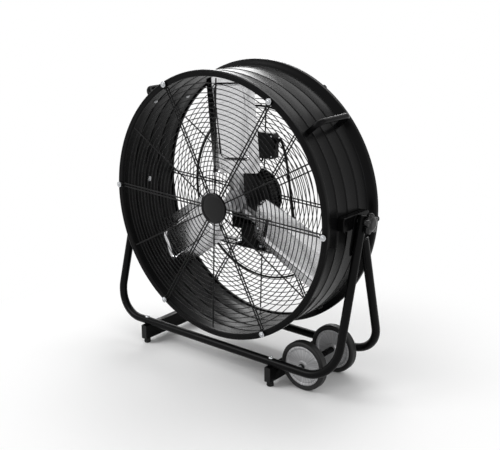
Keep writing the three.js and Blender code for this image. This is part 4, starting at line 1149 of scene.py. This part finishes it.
tube_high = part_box("front_stand_tube")[1]
tube_radius = 12.5 * mm
riser_x = tube_high[0] - tube_radius + 0.6 * mm
run_y = 118 * mm
run_z = 74.3 * mm
tube_bend = 100 * mm
lean = Vector((0, run_y, pivot_height - run_z)).normalized()
climb = math.hypot(run_y, pivot_height - run_z)
for label, side, past in (("front", -1, 17 * mm), ("rear", 1, -50 * mm)):
    up = Vector((0, -side * lean.y, lean.z)) * (climb + past)
    foot = Vector((0, side * run_y, run_z))
    left = Vector((-riser_x, 0, 0))
    right = Vector((riser_x, 0, 0))
    path = bent_path([foot + left + up, foot + left, foot + right, foot + right + up],
                     tube_bend, 20)
    tube = make_piece(f"{label}_tube", swept(path, tube_radius, 32), black_paint)
    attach(tube, "stand")
    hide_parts(f"{label}_stand_tube")
    cap_outline = domed(tube_radius / mm, 0.8, 3.2, (0.25, 0.55, 0.9, 1.25))
    dome_shape = turned(cap_outline, 32, (0, 0, 0), "Z")
    stand_up = up.to_track_quat("Z", "Y").to_matrix()
    caps = [placed(dome_shape, stand_up, foot + corner + up) for corner in (left, right)]
    end_caps = make_piece(f"{label}_tube_caps", joined(*caps), knob_plastic)
    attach(end_caps, "stand")

# ---------------------------------------------------------------- foot bars
# Rectangular tube bars with plastic end plugs under the stand tubes. Two screws
# through the tubes hold each bar, and it stands on two round rubber feet.

bar_height = 46.5 * mm
bar_bevel = 2.5 * mm
plug_flange = 1.6 * mm
for label in ("left", "right"):
    low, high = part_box(f"foot_bar_{label}")
    bar_top = low[2] + bar_height
    x0, x1 = low[0], high[0]
    outline = rounded((x0, low[2]), (x1, bar_top), bar_bevel, 4)
    bar_front, bar_rear = low[1] + plug_flange, high[1] - plug_flange
    bar = make_piece(f"cross_bar_{label}", prism(outline, bar_front, bar_rear, "Y"), black_paint)
    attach(bar, "stand")
    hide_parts(f"foot_bar_{label}")
    plug_section = rounded((x0 + 0.5 * mm, low[2] + 0.5 * mm), (x1 - 0.5 * mm, bar_top - 0.5 * mm),
                           bar_bevel, 4)
    plugs = make_piece(f"bar_end_plugs_{label}", joined(
        prism(plug_section, low[1], bar_front, "Y"),
        prism(plug_section, bar_rear, high[1], "Y")), box_plastic)
    soften(plugs, 0.4 * mm)
    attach(plugs, "stand")
    middle_x = (x0 + x1) / 2
    tube_top = run_z + tube_radius
    screw = stepped(tube_top, 1, (0, -20), (3.4, -20), (3.4, -0.6), (7.4, -0.6), (7.4, 0.8),
                    (5.4, 3.2), (2.6, 4.0), (1.6, 2.6), (0, 2.6))
    shapes = [turned(screw, 28, (middle_x, y, 0), "Z") for y in (-run_y, run_y)]
    heads = make_piece(f"bar_screws_{label}", joined(*shapes), zinc)
    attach(heads, "stand")

foot_rubber = finish("foot_rubber", (0.006, 0.006, 0.006), (0.012, 0.012, 0.012), (0.6, 0.8),
                     specular=0.2, grain=900.0, bump=0.15)
for label in ("left", "right"):
    for end in ("front", "rear"):
        name = f"rubber_foot_{label}_{end}"
        low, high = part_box(name)
        middle = (*middle_of(low, high)[:2], 0)
        radius = half_of(low, high)[0]
        outline = [(0, low[2]), (radius - 3 * mm, low[2]), (radius - 1 * mm, low[2] + 1 * mm),
                   (radius, low[2] + 3 * mm), (radius - 1.2 * mm, high[2] - 1 * mm),
                   (radius - 2 * mm, high[2]), (0, high[2])]
        pad = make_piece(f"{name}_pad", turned(outline, 32, middle, "Z"), foot_rubber)
        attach(pad, "stand")
        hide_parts(name)

# ---------------------------------------------------------------- wheels
# Solid rubber tyres on grey moulded discs, which turn on a steel axle between the
# two lower tubes. A black cap keeps each wheel on.

tyre_rubber = finish("tyre_rubber", (0.008, 0.008, 0.008), (0.016, 0.016, 0.016), (0.45, 0.6),
                     specular=0.3, grain=700.0, bump=0.12)


def radial_plastic(name, centre):
    """Grey moulded plastic with fine streaks that run out from the axle."""
    material = finish(name, (0.46, 0.46, 0.47), (0.58, 0.58, 0.59), (0.3, 0.42), metallic=0.35,
                      grain=500.0, bump=0.04)
    tree = material.node_tree
    place = add(tree, "ShaderNodeTexCoord")["Object"]
    middle = add(tree, "ShaderNodeMapping", {
        "Vector": place, "Location": tuple(-c for c in centre)})
    parts = add(tree, "ShaderNodeSeparateXYZ", {"Vector": middle["Vector"]})
    angle = add(tree, "ShaderNodeMath", {0: parts["Z"], 1: parts["X"]}, operation="ARCTAN2")
    spread = add(tree, "ShaderNodeCombineXYZ", {"X": angle[0]})
    streaks = add(tree, "ShaderNodeTexNoise", {
        "Vector": spread["Vector"], "Scale": 14.0, "Detail": 3.0})
    contrast = add(tree, "ShaderNodeMapRange", {
        "Value": streaks["Fac"], "From Min": 0.3, "From Max": 0.7, "To Min": 0.35, "To Max": 1.25})
    multiply_colour(material, contrast["Result"], 0.8)
    return material


rim = 60 * mm
tyre_round = 6 * mm
wheel_sides = 144
for label, side in (("front", -1), ("rear", 1)):
    low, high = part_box(f"tyre_{label}")
    centre = (*middle_of(low, high)[:2], high[2] / 2)
    radius = high[2] / 2
    half = half_of(low, high)[1]
    section = [(rim, -half + 1.5 * mm), (rim + 3 * mm, -half + 0.6 * mm)]
    section += arc((radius - tyre_round, -half + tyre_round), tyre_round, 270, 350, 7)
    section += [(radius - 0.6 * mm, -6 * mm), (radius - 0.1 * mm, 0), (radius - 0.6 * mm, 6 * mm)]
    section += arc((radius - tyre_round, half - tyre_round), tyre_round, 10, 90, 7)
    section += [(rim + 3 * mm, half - 0.6 * mm), (rim, half - 1.5 * mm)]
    tyre = make_piece(f"solid_tyre_{label}", turned(section, wheel_sides, centre), tyre_rubber)
    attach(tyre, f"{label}_wheel")
    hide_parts(f"tyre_{label}")

    disc_outline = []
    for s in (-1, 1):
        face = stepped(s * half, -s, (6.2, 0.4), (14, 0.4), (15.5, 2), (17, 5.2), (46, 6.2),
                       (50, 6.0), (52, 3.0), (55, 2.0), (57.5, 2.2), (rim / mm - 0.2, 3.4))
        disc_outline += face if s < 0 else face[::-1]
    disc = make_piece(f"moulded_disc_{label}", turned(disc_outline, wheel_sides, centre),
                      radial_plastic(f"disc_plastic_{label}", centre))
    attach(disc, f"{label}_wheel")
    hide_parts(f"wheel_disc_{label}")

    low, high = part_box(f"axle_cap_{label}")
    radius = half_of(low, high)[0]
    face, out = inner_outer(low, high, 1, side)
    cap_outline = [(6.1 * mm, face), (radius, face), (radius, out - side * 3 * mm)]
    cap_outline += [(radius - 1 * mm, out - side * 1 * mm), (radius - 3 * mm, out), (6.1 * mm, out)]
    cap = make_piece(f"axle_push_cap_{label}",
                     turned(cap_outline, 32, (centre[0], 0, centre[2])), box_plastic)
    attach(cap, "stand")
    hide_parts(f"axle_cap_{label}")

low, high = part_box("wheel_axle")
axle_x, _, axle_z = middle_of(low, high)
axle_centre = (axle_x, 0, axle_z)
axle_radius = 5.9 * mm
axle_outline = [(0, low[1]), (axle_radius, low[1]), (axle_radius, high[1]), (0, high[1])]
axle_bar = make_piece("axle_bar", turned(axle_outline, 32, axle_centre), zinc)
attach(axle_bar, "stand")
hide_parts("wheel_axle")
low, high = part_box("axle_sleeve")
sleeve_outline = stepped(low[1], 1, (6.2, 0), (8.4, 0), (9, 0.6))
sleeve_outline += stepped(high[1], 1, (9, -0.6), (8.4, 0), (6.2, 0))
sleeve = make_piece("axle_spacer", turned(sleeve_outline, 32, axle_centre), black_paint)
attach(sleeve, "stand")
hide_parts("axle_sleeve")
